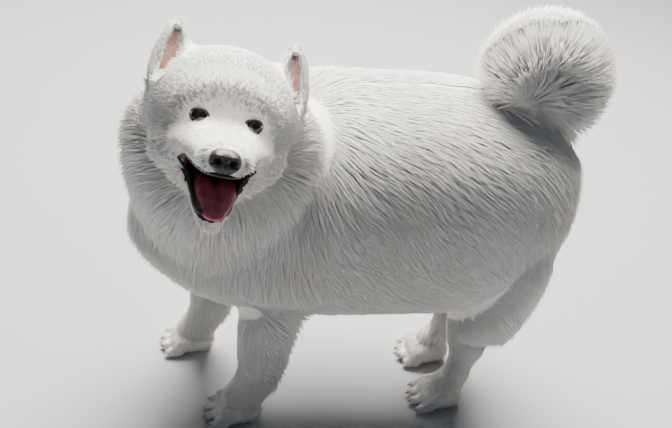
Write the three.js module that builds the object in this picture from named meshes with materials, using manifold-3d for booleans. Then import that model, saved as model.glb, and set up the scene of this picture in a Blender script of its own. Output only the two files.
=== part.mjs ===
// A samoyed standing on four paws, head turned to its left with the mouth open, tail curled over the back.
// Millimetres. +X is forward along the body, +Y is the dog's left, +Z is up, and the paws rest on z = 0.
import * as THREE from 'three';
import { ParametricGeometry } from 'three/addons/geometries/ParametricGeometry.js';
import { mergeVertices } from 'three/addons/utils/BufferGeometryUtils.js';
import Module from 'manifold-3d';

const wasm = await Module();
wasm.setup();

// Driving sizes of the whole dog.
const GAP = 0.3;
const FORELEG = { forward: 205, stagger: 39, side: 87 };
const HIND_LEG = { forward: -190, stagger: 0, side: 58 };
const LEG_TOP = 195;
const PAW_TOP = 50;
const THIGH_TOP = 385;
const RUMP_FRONT = -150;
const CHEST_REAR = 72;
const TAIL_CURL = { x: -256, y: 4, z: 604, radius: 52, plume: 48, side: 56 };
// Where the tail leaves the rump, and the angles between which it curls, in degrees.
const TAIL_BASE = [-264, 0, 505, 40, 42, 38];
const TAIL_TURNS = { from: -42, to: 215, steps: 5 };
// Moves the dog so that its box stands over the origin.
const CENTRE_SHIFT = [0, -70, 0];
const HEAD = { eyes: [213, 216, 624], yaw: 92, nose_up: 23, roll: -10.5 };
const DOME_ROWS = 2;
const FINENESS = 0.8;
// A lock from root to tip: how far along it, how far it has risen from the root's depth to the tips,
// and how wide it is.
const LOCK_PROFILE = [
  { at: 0, rise: -0.35, wide: 0.8 },
  { at: 0.34, rise: 0.5, wide: 1 },
  { at: 0.74, rise: 0.88, wide: 0.8 },
  { at: 1, rise: 1, wide: 0 },
];
const LOCK_CROWN = 1.3;
// A lock's width as a share of the room between roots, where along it a lock is tested for being buried,
// and how close to a form's end, in rows, its tip may come.
const LOCK_FILL = 0.97;
const LOCK_MIDDLE = 0.5;
const LOCK_END = 0.7;
// How much locks differ by chance: their places in a row, widths, lengths and lifts, and the least share kept
// of the length of a lock that is cut short by the end of its form.
const CHANCE = { place: 0.08, width: 0.06, length: 0.15, lift: 0.5 };
const SHORTEST = 0.4;
// Small steps by which slopes of a surface are read: round it, and along it in rows.
const STEP = { round: 0.01, rows: 0.05 };
// How finely a form is sliced to tell what lies inside it, and the most that a point may stand off its slice.
const SLICES = 2;
const SLICE_CORNERS = 24;
const SLICE_TILT = 0.6;
const LEFT = 1;
const RIGHT = -1;
const UP = new THREE.Vector3(0, 0, 1);
const FORWARD = new THREE.Vector3(1, 0, 0);

// Colours of the pieces.
const COAT = new THREE.MeshStandardMaterial({ color: 0xf1ede4, roughness: 0.92, metalness: 0 });
const LEATHER = new THREE.MeshStandardMaterial({ color: 0x26262a, roughness: 0.45, metalness: 0 });
const EYE = new THREE.MeshStandardMaterial({ color: 0x15110f, roughness: 0.08, metalness: 0 });
const TONGUE = new THREE.MeshStandardMaterial({ color: 0xa8505c, roughness: 0.4, metalness: 0 });

// Turns a closed geometry into a solid, with shared corners merged and flat triangles dropped.
function solid(geometry, matrix = new THREE.Matrix4()) {
  geometry.deleteAttribute('uv');
  geometry.deleteAttribute('normal');
  const merged = mergeVertices(geometry.applyMatrix4(matrix), 1e-3);
  const corners = merged.index.array;
  const kept = [];
  for (let i = 0; i < corners.length; i += 3) {
    const [a, b, c] = corners.slice(i, i + 3);
    if (a !== b && b !== c && c !== a) kept.push([a, b, c]);
  }
  const build = (triangles) => new wasm.Manifold(new wasm.Mesh({
    numProp: 3,
    vertProperties: new Float32Array(merged.attributes.position.array),
    triVerts: new Uint32Array(triangles.flat()),
  }));
  const made = build(kept);
  return made.volume() > 0 ? made : build(kept.map(([a, b, c]) => [a, c, b]));
}

// The surface through stations of [x, y, z, side, up, down]: row 0 and the last row are the poles of
// its domed ends.
function surfaceOf(stations, options = {}) {
  const { along = 12, square = 2, upward = UP, startDome = 10, endDome = 10 } = options;
  const centres = new THREE.CatmullRomCurve3(stations.map(([x, y, z]) => new THREE.Vector3(x, y, z)));
  const sizes = new THREE.CatmullRomCurve3(stations.map(([, , , s, u, d]) => new THREE.Vector3(s, u, d)));
  const rows = along + 2 * DOME_ROWS;
  return (u, row, grow = 0, target = new THREE.Vector3()) => {
    const start = Math.min(1, row / DOME_ROWS);
    const end = Math.min(1, (rows - row) / DOME_ROWS);
    const t = Math.min(1, Math.max(0, (row - DOME_ROWS) / along));
    const closing = Math.min(start, end) * Math.PI / 2;
    const reach = (start < 1 ? -startDome - grow : endDome + grow) * Math.cos(closing);
    const tangent = centres.getTangent(t);
    const side = new THREE.Vector3().crossVectors(upward, tangent).normalize();
    const top = new THREE.Vector3().crossVectors(tangent, side);
    const size = sizes.getPoint(t).addScalar(grow);
    const c = Math.cos(2 * Math.PI * u);
    const s = Math.sin(2 * Math.PI * u);
    const round = Math.pow(Math.pow(Math.abs(c), square) + Math.pow(Math.abs(s), square), -1 / square);
    const full = Math.sin(closing) * round;
    return target.copy(centres.getPoint(t)).addScaledVector(tangent, reach)
      .addScaledVector(side, full * c * size.x)
      .addScaledVector(top, full * s * (s > 0 ? size.y : size.z));
  };
}

// A closed body bounded by such a surface, grown outwards or, with a negative grow, shrunk.
function sweep(stations, options = {}) {
  const { around = 20, along = 12, grow = 0, matrix } = options;
  const surface = surfaceOf(stations, options);
  const rows = along + 2 * DOME_ROWS;
  const place = (u, v, target) => surface(u, v * rows, grow, target);
  return solid(new ParametricGeometry(place, around, rows), matrix);
}

// A repeatable source of random numbers from -1 to 1.
function randomSource(seed) {
  let state = seed;
  return () => {
    state = (state * 1664525 + 1013904223) % 4294967296;
    return state / 2147483648 - 1;
  };
}

// One flat, tapered lock of hair on a surface, from its sunken root to its tip on the coat's outer form.
// It starts at (u, row), runs by (du, drow) along the coat's lie, and is wide across it.
function lock(surface, { u, row, du, drow, depth, width, thick, lift, matrix }) {
  const steps = LOCK_PROFILE.map(({ at, rise, wide }) => {
    const grow = -depth * (1 - rise) + lift * at;
    const here = surface(u + du * at, row + drow * at, grow);
    const next = at + STEP.rows;
    const ahead = surface(u + du * next, row + drow * next, grow).sub(here).normalize();
    const out = surface(u + du * at, row + drow * at, grow + 1).sub(here).normalize();
    const across = new THREE.Vector3().crossVectors(out, ahead).normalize();
    const upright = out.crossVectors(ahead, across).normalize();
    return { here, out: upright, across, half: width * wide / 2, flat: thick * wide / 2 };
  });
  const points = steps.flatMap(({ here, out, across, half, flat }) => (half > 0 ? [
    here.clone().addScaledVector(across, -half),
    here.clone().addScaledVector(out, flat * LOCK_CROWN),
    here.clone().addScaledVector(across, half),
    here.clone().addScaledVector(out, -flat),
  ] : [here.clone()]));
  const rings = steps.length - 1;
  const index = [0, 1, 2, 0, 2, 3];
  for (let ring = 0; ring < rings; ring += 1) {
    for (let i = 0; i < 4; i += 1) {
      const a = ring * 4 + i;
      const b = ring * 4 + (i + 1) % 4;
      if (ring < rings - 1) index.push(a, a + 4, b, b, a + 4, b + 4);
      else index.push(a, rings * 4, b);
    }
  }
  const geometry = new THREE.BufferGeometry().setFromPoints(points).setIndex(index);
  return solid(geometry, matrix);
}

// Tells whether a point lies inside such a surface, between its two end stations.
function insideOf(stations, options) {
  const { along = 12 } = options;
  const surface = surfaceOf(stations, options);
  const slices = Array.from({ length: SLICES * along + 1 }, (_, i) => {
    const row = DOME_ROWS + i / SLICES;
    const outline = Array.from({ length: SLICE_CORNERS }, (__, k) => surface(k / SLICE_CORNERS, row));
    const centre = outline.reduce((sum, point) => sum.add(point), new THREE.Vector3())
      .multiplyScalar(1 / SLICE_CORNERS);
    return { outline, centre };
  });
  return (point) => {
    const nearest = slices.reduce((best, slice) => (
      slice.centre.distanceToSquared(point) < best.centre.distanceToSquared(point) ? slice : best));
    const ray = point.clone().sub(nearest.centre);
    const rim = nearest.outline.reduce((best, corner) => {
      const arm = corner.clone().sub(nearest.centre);
      const turn = arm.angleTo(ray);
      return turn < best.turn ? { turn, reach: arm.length() } : best;
    }, { turn: Math.PI, reach: 0 });
    return rim.turn < SLICE_TILT && ray.length() < rim.reach;
  };
}

// Rows of locks that cover part of a surface. The lie is the coat's direction at a place, in the
// body's frame. Locks that would lie inside a neighbouring form are left out.
function coat(stations, options, cover) {
  const { rows, count, from = 0, to = 1, length, depth, thick, lie, lift, seed, matrix, within = [] } = cover;
  const surface = surfaceOf(stations, options);
  const lastRow = (options.along ?? 12) + 2 * DOME_ROWS - LOCK_END;
  const random = randomSource(seed);
  return rows.flatMap((row, r) => Array.from({ length: count }, (_, i) => {
    const u = from + (to - from) * (i + (r % 2) / 2 + CHANCE.place * random()) / count;
    const here = surface(u, row);
    const alongU = surface(u + STEP.round, row).sub(here).divideScalar(STEP.round);
    const alongRow = surface(u, row + STEP.rows).sub(here).divideScalar(STEP.rows);
    const wanted = lie(here).normalize();
    const [uu, ur, rr] = [alongU.dot(alongU), alongU.dot(alongRow), alongRow.dot(alongRow)];
    const [wu, wr] = [wanted.dot(alongU), wanted.dot(alongRow)];
    const even = uu * rr - ur * ur;
    const [eu, er] = [(wu * rr - wr * ur) / even, (wr * uu - wu * ur) / even];
    const room = er < 0 ? (row - LOCK_END) / -er : (lastRow - row) / er;
    const long = Math.min(length * (1 + CHANCE.length * random()), Math.max(room, length * SHORTEST));
    const heading = alongU.clone().multiplyScalar(eu).addScaledVector(alongRow, er).normalize();
    const spacing = alongU.multiplyScalar((to - from) / count).cross(heading).length();
    const piece = {
      u, row, depth, thick, matrix, du: eu * long, drow: er * long,
      width: spacing * LOCK_FILL * (1 + CHANCE.width * random()),
      lift: lift(here) * (1 + CHANCE.lift * random()),
    };
    const middle = surface(u + piece.du * LOCK_MIDDLE, row + piece.drow * LOCK_MIDDLE);
    return within.some((inside) => inside(middle)) ? null : lock(surface, piece);
  })).filter((piece) => piece);
}

// One solid from several.
function fuse(pieces) {
  return pieces.reduce((whole, piece) => whole.add(piece));
}

// The head's own frame: x towards the nose, y to its left, z up, origin midway between the eyes.
const radians = THREE.MathUtils.degToRad;
const headFrame = new THREE.Matrix4().makeTranslation(...HEAD.eyes)
  .multiply(new THREE.Matrix4().makeRotationZ(radians(HEAD.yaw)))
  .multiply(new THREE.Matrix4().makeRotationY(-radians(HEAD.nose_up)))
  .multiply(new THREE.Matrix4().makeRotationX(radians(HEAD.roll)));

// Outer forms of the coat, out to its tips: each station is [x, y, z, side, up, down].
const TORSO = [
  [-325, 0, 378, 74, 84, 92],
  [-296, 0, 384, 120, 132, 135],
  [-240, 0, 394, 148, 176, 182],
  [-130, 0, 400, 172, 194, 200],
  [0, 0, 402, 178, 191, 204],
  [110, 0, 402, 174, 178, 204],
  [205, 0, 404, 155, 160, 185],
  [272, 0, 415, 122, 122, 150],
  [318, 0, 430, 80, 70, 100],
];
const NECK = [
  [186, -30, 392, 142, 135, 150],
  [200, 32, 452, 152, 138, 160],
  [208, 80, 520, 150, 122, 150],
  [212, 112, 575, 132, 106, 124],
  [214, 132, 612, 104, 84, 92],
];
// Stations of the legs are measured from the middle of the paw on the floor.
const FORELEG_FORM = [
  [-36, 0, 330, 52, 60, 65],
  [-32, 0, 200, 46, 50, 54],
  [-30, 0, 140, 42, 45, 48],
  [-25, 0, 100, 38, 39, 43],
  [-14, 0, 66, 35, 37, 40],
  [-4, 0, 40, 34, 40, 38],
];
const HIND_LEG_FORM = [
  [-22, 0, 240, 46, 56, 70],
  [-24, 0, 160, 36, 44, 52],
  [-22, 0, 110, 30, 29, 33],
  [-18, 0, 72, 30, 27, 30],
  [-8, 0, 40, 31, 36, 32],
];
const THIGH_FORM = [
  [-55, 16, 420, 66, 95, 70],
  [-52, 18, 340, 74, 100, 80],
  [-48, 16, 250, 64, 85, 72],
  [-42, 12, 185, 48, 68, 62],
];
const PAW_FORM = [
  [-28, 0, 22, 28, 20, 24],
  [0, 0, 25, 36, 26, 26],
  [30, 0, 20, 37, 19, 22],
];
const TOE = { spread: 19, reach: [48, 56, 56, 48], across: 10.5, high: 13, long: 26 };

// Forms of the head, in its own frame.
const CRANIUM = [
  [-148, 0, 0, 70, 62, 72],
  [-110, 0, 6, 94, 80, 86],
  [-70, 0, 8, 100, 86, 92],
  [-38, 0, 4, 92, 78, 80],
  [-12, 0, 0, 74, 54, 58],
];
const CHEEKS = [
  [-44, 0, -30, 78, 36, 30],
  [-14, 0, -33, 66, 24, 16],
  [14, 0, -35, 54, 20, 12],
  [36, 0, -37, 44, 16, 11],
];
const MUZZLE = [
  [-20, 0, -27, 56, 34, 31],
  [14, 0, -31, 50, 29, 27],
  [50, 0, -35, 40, 24, 25],
  [80, 0, -38, 30, 20, 20],
];
const JAW = [
  [-34, 0, -78, 40, 14, 22],
  [5, 0, -89, 31, 9, 22],
  [34, 0, -101, 24, 7, 20],
  [48, 0, -107, 18, 6, 16],
];
const MOUTH = [
  [-30, 0, -66, 35, 11, 12],
  [10, 0, -70, 29, 15, 16],
  [44, 0, -77, 22, 21, 20],
  [66, 0, -80, 17, 23, 20],
];
const TONGUE_FORM = [
  [-26, 3, -76, 22, 6, 8],
  [8, 5, -83, 21, 6, 8],
  [34, 5, -95, 16, 6, 7],
  [50, 4, -103, 10, 5, 6],
];
const NOSE = { at: [84, 0, -37], long: 14, side: 18, up: 13, down: 15, nostril: 4.2, apart: 8.5 };
// The nose's sections: how far along it, as a share of its length, and how full.
const NOSE_RINGS = [
  { along: -0.5, full: 0.9 },
  { along: 0, full: 1 },
  { along: 0.4, full: 0.88 },
];
const EYE_BALL = { at: [-8.5, 31.5, 0], radius: 11.5 };
const LID = { at: [1, 31.5, 0], wide: 12, high: 8.5, roll: 2.2, turn: 14, slant: 12, depth: 9 };
const EAR = [
  [-66, 73, 26, 31, 15, 18],
  [-72, 74, 62, 26, 12, 14],
  [-78, 75, 92, 15, 8, 9],
  [-84, 74, 109, 6, 5, 5],
];
const EAR_CUP = [
  [-50, 77, 38, 20, 9, 10],
  [-60, 76, 68, 15, 7, 8],
  [-71, 75, 94, 6, 5, 5],
];

// The soft edges of the lips, from the dog's right corner of the mouth to its left.
const UPPER_LIP = [
  [-20, -46, -47, 4, 4.5, 4.5],
  [8, -40, -52, 4.5, 5, 5],
  [42, -31, -54, 4.5, 5, 5],
  [72, -20, -54, 4, 4.5, 4.5],
  [84, 0, -54, 4, 4, 4],
  [72, 20, -54, 4, 4.5, 4.5],
  [42, 31, -54, 4.5, 5, 5],
  [8, 40, -52, 4.5, 5, 5],
  [-20, 46, -47, 4, 4.5, 4.5],
];
const LOWER_LIP = [
  [-22, -45, -52, 3.5, 3.5, 3.5],
  [-10, -36, -64, 3.5, 4, 4],
  [4, -29, -77, 4, 4.5, 4.5],
  [22, -25, -88, 4, 4.5, 4.5],
  [40, -19, -99, 4, 4.5, 4.5],
  [54, 0, -106, 4, 4.5, 4.5],
  [40, 19, -99, 4, 4.5, 4.5],
  [22, 25, -88, 4, 4.5, 4.5],
  [4, 29, -77, 4, 4.5, 4.5],
  [-10, 36, -64, 3.5, 4, 4],
  [-22, 45, -52, 3.5, 3.5, 3.5],
];

// How each form is swept.
const TORSO_SWEEP = { around: 18, along: 12, square: 2.25, startDome: 16, endDome: 18 };
const NECK_SWEEP = { around: 18, along: 8, startDome: 30, endDome: 20 };
const TAIL_SWEEP = { around: 10, along: 12, upward: new THREE.Vector3(0, 1, 0), startDome: 10, endDome: 20 };
const CRANIUM_SWEEP = { around: 20, along: 6, startDome: 20, endDome: 16 };
const NOSE_SWEEP = { around: 14, along: 2, startDome: 6, endDome: 6, square: 2.4 };
const LIP_SWEEP = { around: 5, along: 10, startDome: 3, endDome: 3 };
const THIGH_SWEEP = { around: 10, along: 6, upward: FORWARD, startDome: 20, endDome: 24 };

// The depth of the long coat, from its tips to the skin, and the share of it that the core leaves
// to the locks.
const COAT_DEPTH = { torso: 50, neck: 76, cheek: 30, tail: 44, thigh: 50 };
const LOCK_SHARE = 0.5;
// How far the tips of the locks stand off the outer form, and the height below which the belly's
// fringe begins.
const BACK_LIFT = 3;
const RUFF_LIFT = 6;
const CHEEK_LIFT = 12;
const PLUME_LIFT = 10;
const BELLY_LIFT = 8;
const BELLY_LINE = 250;
// How much the tail's locks fan outwards as they follow the curl.
const PLUME_SPREAD = 0.5;

// Locks on each form: rows along it, how many round it, their size and the way they lie.
const TORSO_LOCKS = {
  rows: [2.6, 4.3, 6, 7.7, 9.4, 11.1, 12.7], count: 9, length: 168, thick: 12, seed: 11,
  lie: ({ x, z }) => new THREE.Vector3(-1, 0, (z > 500 ? 0 : -0.5) - (x < -240 ? 1 : 0)),
  lift: ({ z }) => (z < BELLY_LINE ? BELLY_LIFT : BACK_LIFT),
};
const NECK_LOCKS = {
  rows: [3.8, 6, 8.2], count: 9, length: 146, thick: 12, seed: 23,
  lie: () => new THREE.Vector3(0, -0.35, -1),
  lift: () => RUFF_LIFT,
};
const THIGH_LOCKS = {
  rows: [2.2, 4, 5.6], count: 6, length: 115, thick: 10, seed: 37,
  lie: () => new THREE.Vector3(-0.4, 0, -1),
  lift: () => BACK_LIFT,
};
// The cheeks carry the front of the ruff; the lie is in the head's frame.
const CHEEK_LOCKS = {
  rows: [4.8], count: 6, from: 0.56, to: 0.94, length: 84, thick: 9, seed: 67,
  lie: ({ y }) => new THREE.Vector3(-0.5, Math.sign(y) * 0.35, -0.8),
  lift: () => CHEEK_LIFT,
};
const TAIL_LOCKS = {
  rows: [2.4, 4.6, 6.8, 9, 11.2, 13.2], count: 5, from: 0.12, to: 0.88, length: 84, thick: 10, seed: 51,
  lie: ({ x, z }) => {
    const out = new THREE.Vector3(x - TAIL_CURL.x, 0, z - TAIL_CURL.z).normalize();
    return new THREE.Vector3(out.z, 0, -out.x).addScaledVector(out, PLUME_SPREAD);
  },
  lift: () => PLUME_LIFT,
};

// Moves leg stations to a paw and to one side of the body.
function placed(stations, leg, side) {
  const forward = leg.forward - side * leg.stagger;
  return stations.map(([x, y, z, ...sizes]) => [forward + x, side * (leg.side + y), z, ...sizes]);
}

// A leg, standing on a paw with four toes.
function leg(form, place, side) {
  const toes = TOE.reach.map((reach, i) => {
    const y = (i - 1.5) * TOE.spread;
    return sweep(placed([
      [reach - TOE.long, y, TOE.high, TOE.across, TOE.high, TOE.high],
      [reach - 6, y * 1.08, TOE.high - 3, TOE.across - 1, TOE.high - 3, TOE.high - 3],
    ], place, side), { around: 5, along: 1, startDome: 4, endDome: 6 });
  });
  return fuse([
    sweep(placed(form, place, side), { upward: FORWARD, around: 10, along: 5 }),
    sweep(placed(PAW_FORM, place, side), { around: 10, along: 2, startDome: 14, endDome: 8, square: 2.3 }),
    ...toes,
  ]);
}

const inTorso = insideOf(TORSO, TORSO_SWEEP);
const inNeck = insideOf(NECK, NECK_SWEEP);
const inThigh = [LEFT, RIGHT].map((side) => insideOf(placed(THIGH_FORM, HIND_LEG, side), THIGH_SWEEP));

// A core of dense undercoat with its locks.
function coated(stations, options, depth, locks) {
  const lockDepth = depth * LOCK_SHARE;
  return fuse([
    sweep(stations, { ...options, grow: -lockDepth }),
    ...coat(stations, options, { ...locks, depth: lockDepth }),
  ]);
}

// The thigh and the breeches that hang behind it.
function thigh(side) {
  return coated(placed(THIGH_FORM, HIND_LEG, side), THIGH_SWEEP, COAT_DEPTH.thigh,
    { ...THIGH_LOCKS, seed: THIGH_LOCKS.seed + side, within: [inTorso] });
}

// The tail leaves the rump, rises behind it and curls forward over the back.
function tail() {
  const stations = [TAIL_BASE];
  for (let i = 0; i <= TAIL_TURNS.steps; i += 1) {
    const angle = radians(THREE.MathUtils.lerp(TAIL_TURNS.from, TAIL_TURNS.to, i / TAIL_TURNS.steps));
    stations.push([
      TAIL_CURL.x - TAIL_CURL.radius * Math.cos(angle),
      TAIL_CURL.y,
      TAIL_CURL.z + TAIL_CURL.radius * Math.sin(angle),
      TAIL_CURL.plume, TAIL_CURL.side, TAIL_CURL.side,
    ]);
  }
  return coated(stations, TAIL_SWEEP, COAT_DEPTH.tail, { ...TAIL_LOCKS, within: [inTorso] });
}

const mirrored = (stations) => stations.map(([x, y, z, ...sizes]) => [x, -y, z, ...sizes]);
const onSide = (stations, side) => (side === LEFT ? stations : mirrored(stations));

function eye(side, grow = 0) {
  const [x, y, z] = EYE_BALL.at;
  const ball = new THREE.SphereGeometry(EYE_BALL.radius + grow, 10, 7);
  return solid(ball.translate(x, side * y, z), headFrame);
}

// The rim of the lids round one eye.
function lids(side) {
  const [x, y, z] = LID.at;
  const rim = new THREE.TorusGeometry(LID.wide, LID.roll, 4, 14);
  rim.scale(1, LID.high / LID.wide, 1);
  rim.rotateZ(side * radians(LID.slant));
  rim.rotateX(Math.PI / 2).rotateZ(Math.PI / 2).rotateZ(side * radians(LID.turn));
  return solid(rim.translate(x, side * y, z), headFrame);
}

// The opening between the lids, cut down to the eye.
function lidOpening(side) {
  const [x, y, z] = LID.at;
  const hole = new THREE.SphereGeometry(1, 12, 6);
  hole.scale(LID.depth, LID.wide - LID.roll / 2, LID.high - LID.roll / 2);
  hole.rotateX(-side * radians(LID.slant)).rotateZ(side * radians(LID.turn));
  return solid(hole.translate(x, side * y, z), headFrame);
}

function nose(grow = 0) {
  const [x, y, z] = NOSE.at;
  const stations = NOSE_RINGS.map(({ along, full }) => [
    x + along * NOSE.long, y, z, NOSE.side * full, NOSE.up * full, NOSE.down * full,
  ]);
  return sweep(stations, { ...NOSE_SWEEP, grow, matrix: headFrame });
}

function nostril(side) {
  const [x, y, z] = NOSE.at;
  const hole = new THREE.SphereGeometry(NOSE.nostril, 7, 5).scale(1.6, 0.9, 1.1);
  return solid(hole.translate(x + NOSE.long * 0.9, y + side * NOSE.apart, z), headFrame);
}

function ear(side, grow = 0) {
  return sweep(onSide(EAR, side),
    { upward: FORWARD, around: 10, along: 4, endDome: 5, grow, matrix: headFrame });
}

function earCup(side) {
  return sweep(onSide(EAR_CUP, side),
    { upward: FORWARD, around: 8, along: 3, endDome: 4, matrix: headFrame });
}

const jaw = (grow = 0) => fuse([
  sweep(JAW, { around: 14, along: 4, startDome: 12, endDome: 14, grow, matrix: headFrame }),
  sweep(LOWER_LIP, { ...LIP_SWEEP, grow, matrix: headFrame }),
]);
const mouth = () => sweep(MOUTH, { around: 12, along: 3, startDome: 8, endDome: 30, matrix: headFrame });
const tongue = (grow = 0) => sweep(TONGUE_FORM,
  { around: 12, along: 3, startDome: 6, endDome: 9, square: 2.4, grow, matrix: headFrame });

// A plane of a thin cut, from a point on it and the direction of its front side.
function planeAt(point, direction, matrix = new THREE.Matrix4()) {
  const normal = new THREE.Vector3(...direction).transformDirection(matrix);
  return { normal: normal.toArray(), offset: normal.dot(new THREE.Vector3(...point).applyMatrix4(matrix)) };
}

// Cuts a solid in two with a gap between: first what lies in front of the plane, then what lies behind.
function part(made, { normal, offset }) {
  const back = normal.map((n) => -n);
  return [made.trimByPlane(normal, offset + GAP / 2), made.trimByPlane(back, GAP / 2 - offset)];
}

// The slanting cuts: a point on each and the direction of its front side, the head's in its own frame.
const HEAD_CUT = { at: [-64.5, 0, 0], front: [0.93, 0, 0.367] };
const TAIL_CUT = { at: [-284, 0, 556], front: [-0.39, 0, 0.92] };
const NECK_CUT = { at: [200, 20, 436], front: [0.05, 0.6, 0.8] };

// Builds the whole coat and parts it with thin cuts.
const sides = [LEFT, RIGHT];
const whole = fuse([
  coated(TORSO, TORSO_SWEEP, COAT_DEPTH.torso, { ...TORSO_LOCKS, within: [inNeck, ...inThigh] }),
  coated(NECK, NECK_SWEEP, COAT_DEPTH.neck, { ...NECK_LOCKS, within: [inTorso] }),
  ...sides.map((side) => leg(FORELEG_FORM, FORELEG, side)),
  ...sides.map((side) => leg(HIND_LEG_FORM, HIND_LEG, side)),
  ...sides.map(thigh),
  tail(),
  sweep(CRANIUM, { ...CRANIUM_SWEEP, matrix: headFrame }),
  ...coat(CRANIUM, CRANIUM_SWEEP, { ...CHEEK_LOCKS, depth: COAT_DEPTH.cheek, matrix: headFrame }),
  sweep(UPPER_LIP, { ...LIP_SWEEP, matrix: headFrame }),
  sweep(MUZZLE, { around: 16, along: 4, endDome: 8, matrix: headFrame }),
  sweep(CHEEKS, { around: 16, along: 4, matrix: headFrame }),
  ...sides.map(lids),
]).trimByPlane([0, 0, 1], 0).simplify(FINENESS);

const carvings = [
  mouth(), jaw(GAP), tongue(GAP), nose(GAP),
  ...sides.flatMap((side) => [lidOpening(side), eye(side, GAP), ear(side, GAP)]),
];
const carved = carvings.reduce((made, piece) => made.subtract(piece), whole);

const [head, headless] = part(carved, planeAt(HEAD_CUT.at, HEAD_CUT.front, headFrame));
const [tailAll, trunk] = part(headless, planeAt(TAIL_CUT.at, TAIL_CUT.front));
const [tailRear, tailFront] = part(tailAll, planeAt([TAIL_CURL.x, 0, 0], [-1, 0, 0]));
const [tailMiddle, tailRoot] = part(tailRear, planeAt([0, 0, TAIL_CURL.z], [0, 0, 1]));
const [upper, lower] = part(trunk, planeAt([0, 0, LEG_TOP], [0, 0, 1]));
const [frontUpper, rear] = part(upper, planeAt([RUMP_FRONT, 0, 0], [1, 0, 0]));
const [front, barrel] = part(frontUpper, planeAt([CHEST_REAR, 0, 0], [1, 0, 0]));
const [neck, chest] = part(front, planeAt(NECK_CUT.at, NECK_CUT.front));
const [rump, thighs] = part(rear, planeAt([0, 0, THIGH_TOP], [0, 0, 1]));
const [thighLeft, thighRight] = part(thighs, planeAt([0, 0, 0], [0, 1, 0]));
const [forelegs, hindLegs] = part(lower, planeAt([0, 0, 0], [1, 0, 0]));

// Keeps the largest closed surface of a piece and names it.
function mesh(name, made, material) {
  const largest = made.decompose().sort((a, b) => b.volume() - a.volume())[0];
  const { vertProperties, triVerts } = largest.getMesh();
  const geometry = new THREE.BufferGeometry()
    .setAttribute('position', new THREE.BufferAttribute(vertProperties, 3))
    .setIndex(new THREE.BufferAttribute(triVerts, 1));
  const piece = new THREE.Mesh(geometry, material);
  piece.name = name;
  return piece;
}

const dog = new THREE.Group();
dog.position.set(...CENTRE_SHIFT);
dog.add(
  mesh('head', head, COAT),
  mesh('lower_jaw', jaw().subtract(tongue(GAP)), COAT),
  mesh('tongue', tongue(), TONGUE),
  mesh('nose', nose().subtract(nostril(LEFT)).subtract(nostril(RIGHT)), LEATHER),
  mesh('neck', neck, COAT),
  mesh('chest', chest, COAT),
  mesh('barrel', barrel, COAT),
  mesh('rump', rump, COAT),
  mesh('thigh_left', thighLeft, COAT),
  mesh('thigh_right', thighRight, COAT),
  mesh('tail_root', tailRoot, COAT),
  mesh('tail_middle', tailMiddle, COAT),
  mesh('tail_tip', tailFront, COAT),
);
[['left', LEFT], ['right', RIGHT]].forEach(([word, side]) => {
  const sideCut = planeAt([0, 0, 0], [0, side, 0]);
  const pawCut = planeAt([0, 0, PAW_TOP], [0, 0, 1]);
  const [foreleg, forePaw] = part(part(forelegs, sideCut)[0], pawCut);
  const [hindLeg, hindPaw] = part(part(hindLegs, sideCut)[0], pawCut);
  dog.add(
    mesh(`eye_${word}`, eye(side), EYE),
    mesh(`ear_${word}`, ear(side).subtract(earCup(side)), COAT),
    mesh(`foreleg_${word}`, foreleg, COAT),
    mesh(`fore_paw_${word}`, forePaw, COAT),
    mesh(`hind_leg_${word}`, hindLeg, COAT),
    mesh(`hind_paw_${word}`, hindPaw, COAT),
  );
});

export default dog;
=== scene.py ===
"""A life-size standing samoyed: one skin under a long white coat, with its face, tongue, ears and paws."""

import logging
import math
from dataclasses import dataclass, fields, replace
from enum import Enum

import bmesh
import bpy
import numpy as np
from mathutils import Matrix, Vector


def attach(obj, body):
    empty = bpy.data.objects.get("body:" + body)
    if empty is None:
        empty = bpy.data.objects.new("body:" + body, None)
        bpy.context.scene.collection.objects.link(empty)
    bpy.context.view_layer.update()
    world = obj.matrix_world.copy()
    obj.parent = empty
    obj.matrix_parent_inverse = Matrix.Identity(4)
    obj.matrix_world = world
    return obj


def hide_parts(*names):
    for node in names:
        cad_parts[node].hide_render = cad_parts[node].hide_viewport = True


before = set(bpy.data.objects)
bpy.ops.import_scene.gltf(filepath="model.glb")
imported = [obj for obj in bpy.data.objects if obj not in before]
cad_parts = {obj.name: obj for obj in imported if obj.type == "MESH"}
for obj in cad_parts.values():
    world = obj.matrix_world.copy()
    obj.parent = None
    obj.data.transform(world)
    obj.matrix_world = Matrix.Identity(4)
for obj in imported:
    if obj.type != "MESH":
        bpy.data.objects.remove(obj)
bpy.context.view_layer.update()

MM = 0.001
LOG = logging.getLogger("samoyed")

# The photograph's frame and where its camera stood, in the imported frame.
IMAGE_WIDTH = 672
FOCAL_PIXELS = 875.0
SENSOR_WIDTH = 36.0
CAMERA_PLACE = (0.25168, 1.06767, 1.10796)
CAMERA_FORWARD = (-0.16337, -0.82260, -0.54464)
CAMERA_RIGHT = (-0.98630, 0.12340, 0.10947)

# Driving sizes of the body in millimetres, from the middle of the floor under the dog.
BODY_SHIFT = np.array((0.0, -70.0, 0.0))
FORELEG = {"forward": 205.0, "stagger": 39.0, "side": 87.0}
HIND_LEG = {"forward": -190.0, "stagger": 0.0, "side": 58.0}
TAIL_CURL = {"x": -256.0, "y": 4.0, "z": 604.0, "radius": 52.0, "plume": 48.0, "side": 56.0}
HEAD = {"eyes": (213.0, 216.0, 624.0), "yaw": 92.0, "nose_up": 23.0, "roll": -10.5}
LEFT = 1.0
RIGHT = -1.0
SIDES = {LEFT: "left", RIGHT: "right"}
UP = np.array((0.0, 0.0, 1.0))
ALONG_BODY = (1.0, 0.0, 0.0)
ACROSS_BODY = (0.0, 1.0, 0.0)

Stations = tuple[tuple[float, ...], ...]
Place = tuple[float, float, float]
Span = tuple[float, float]


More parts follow.
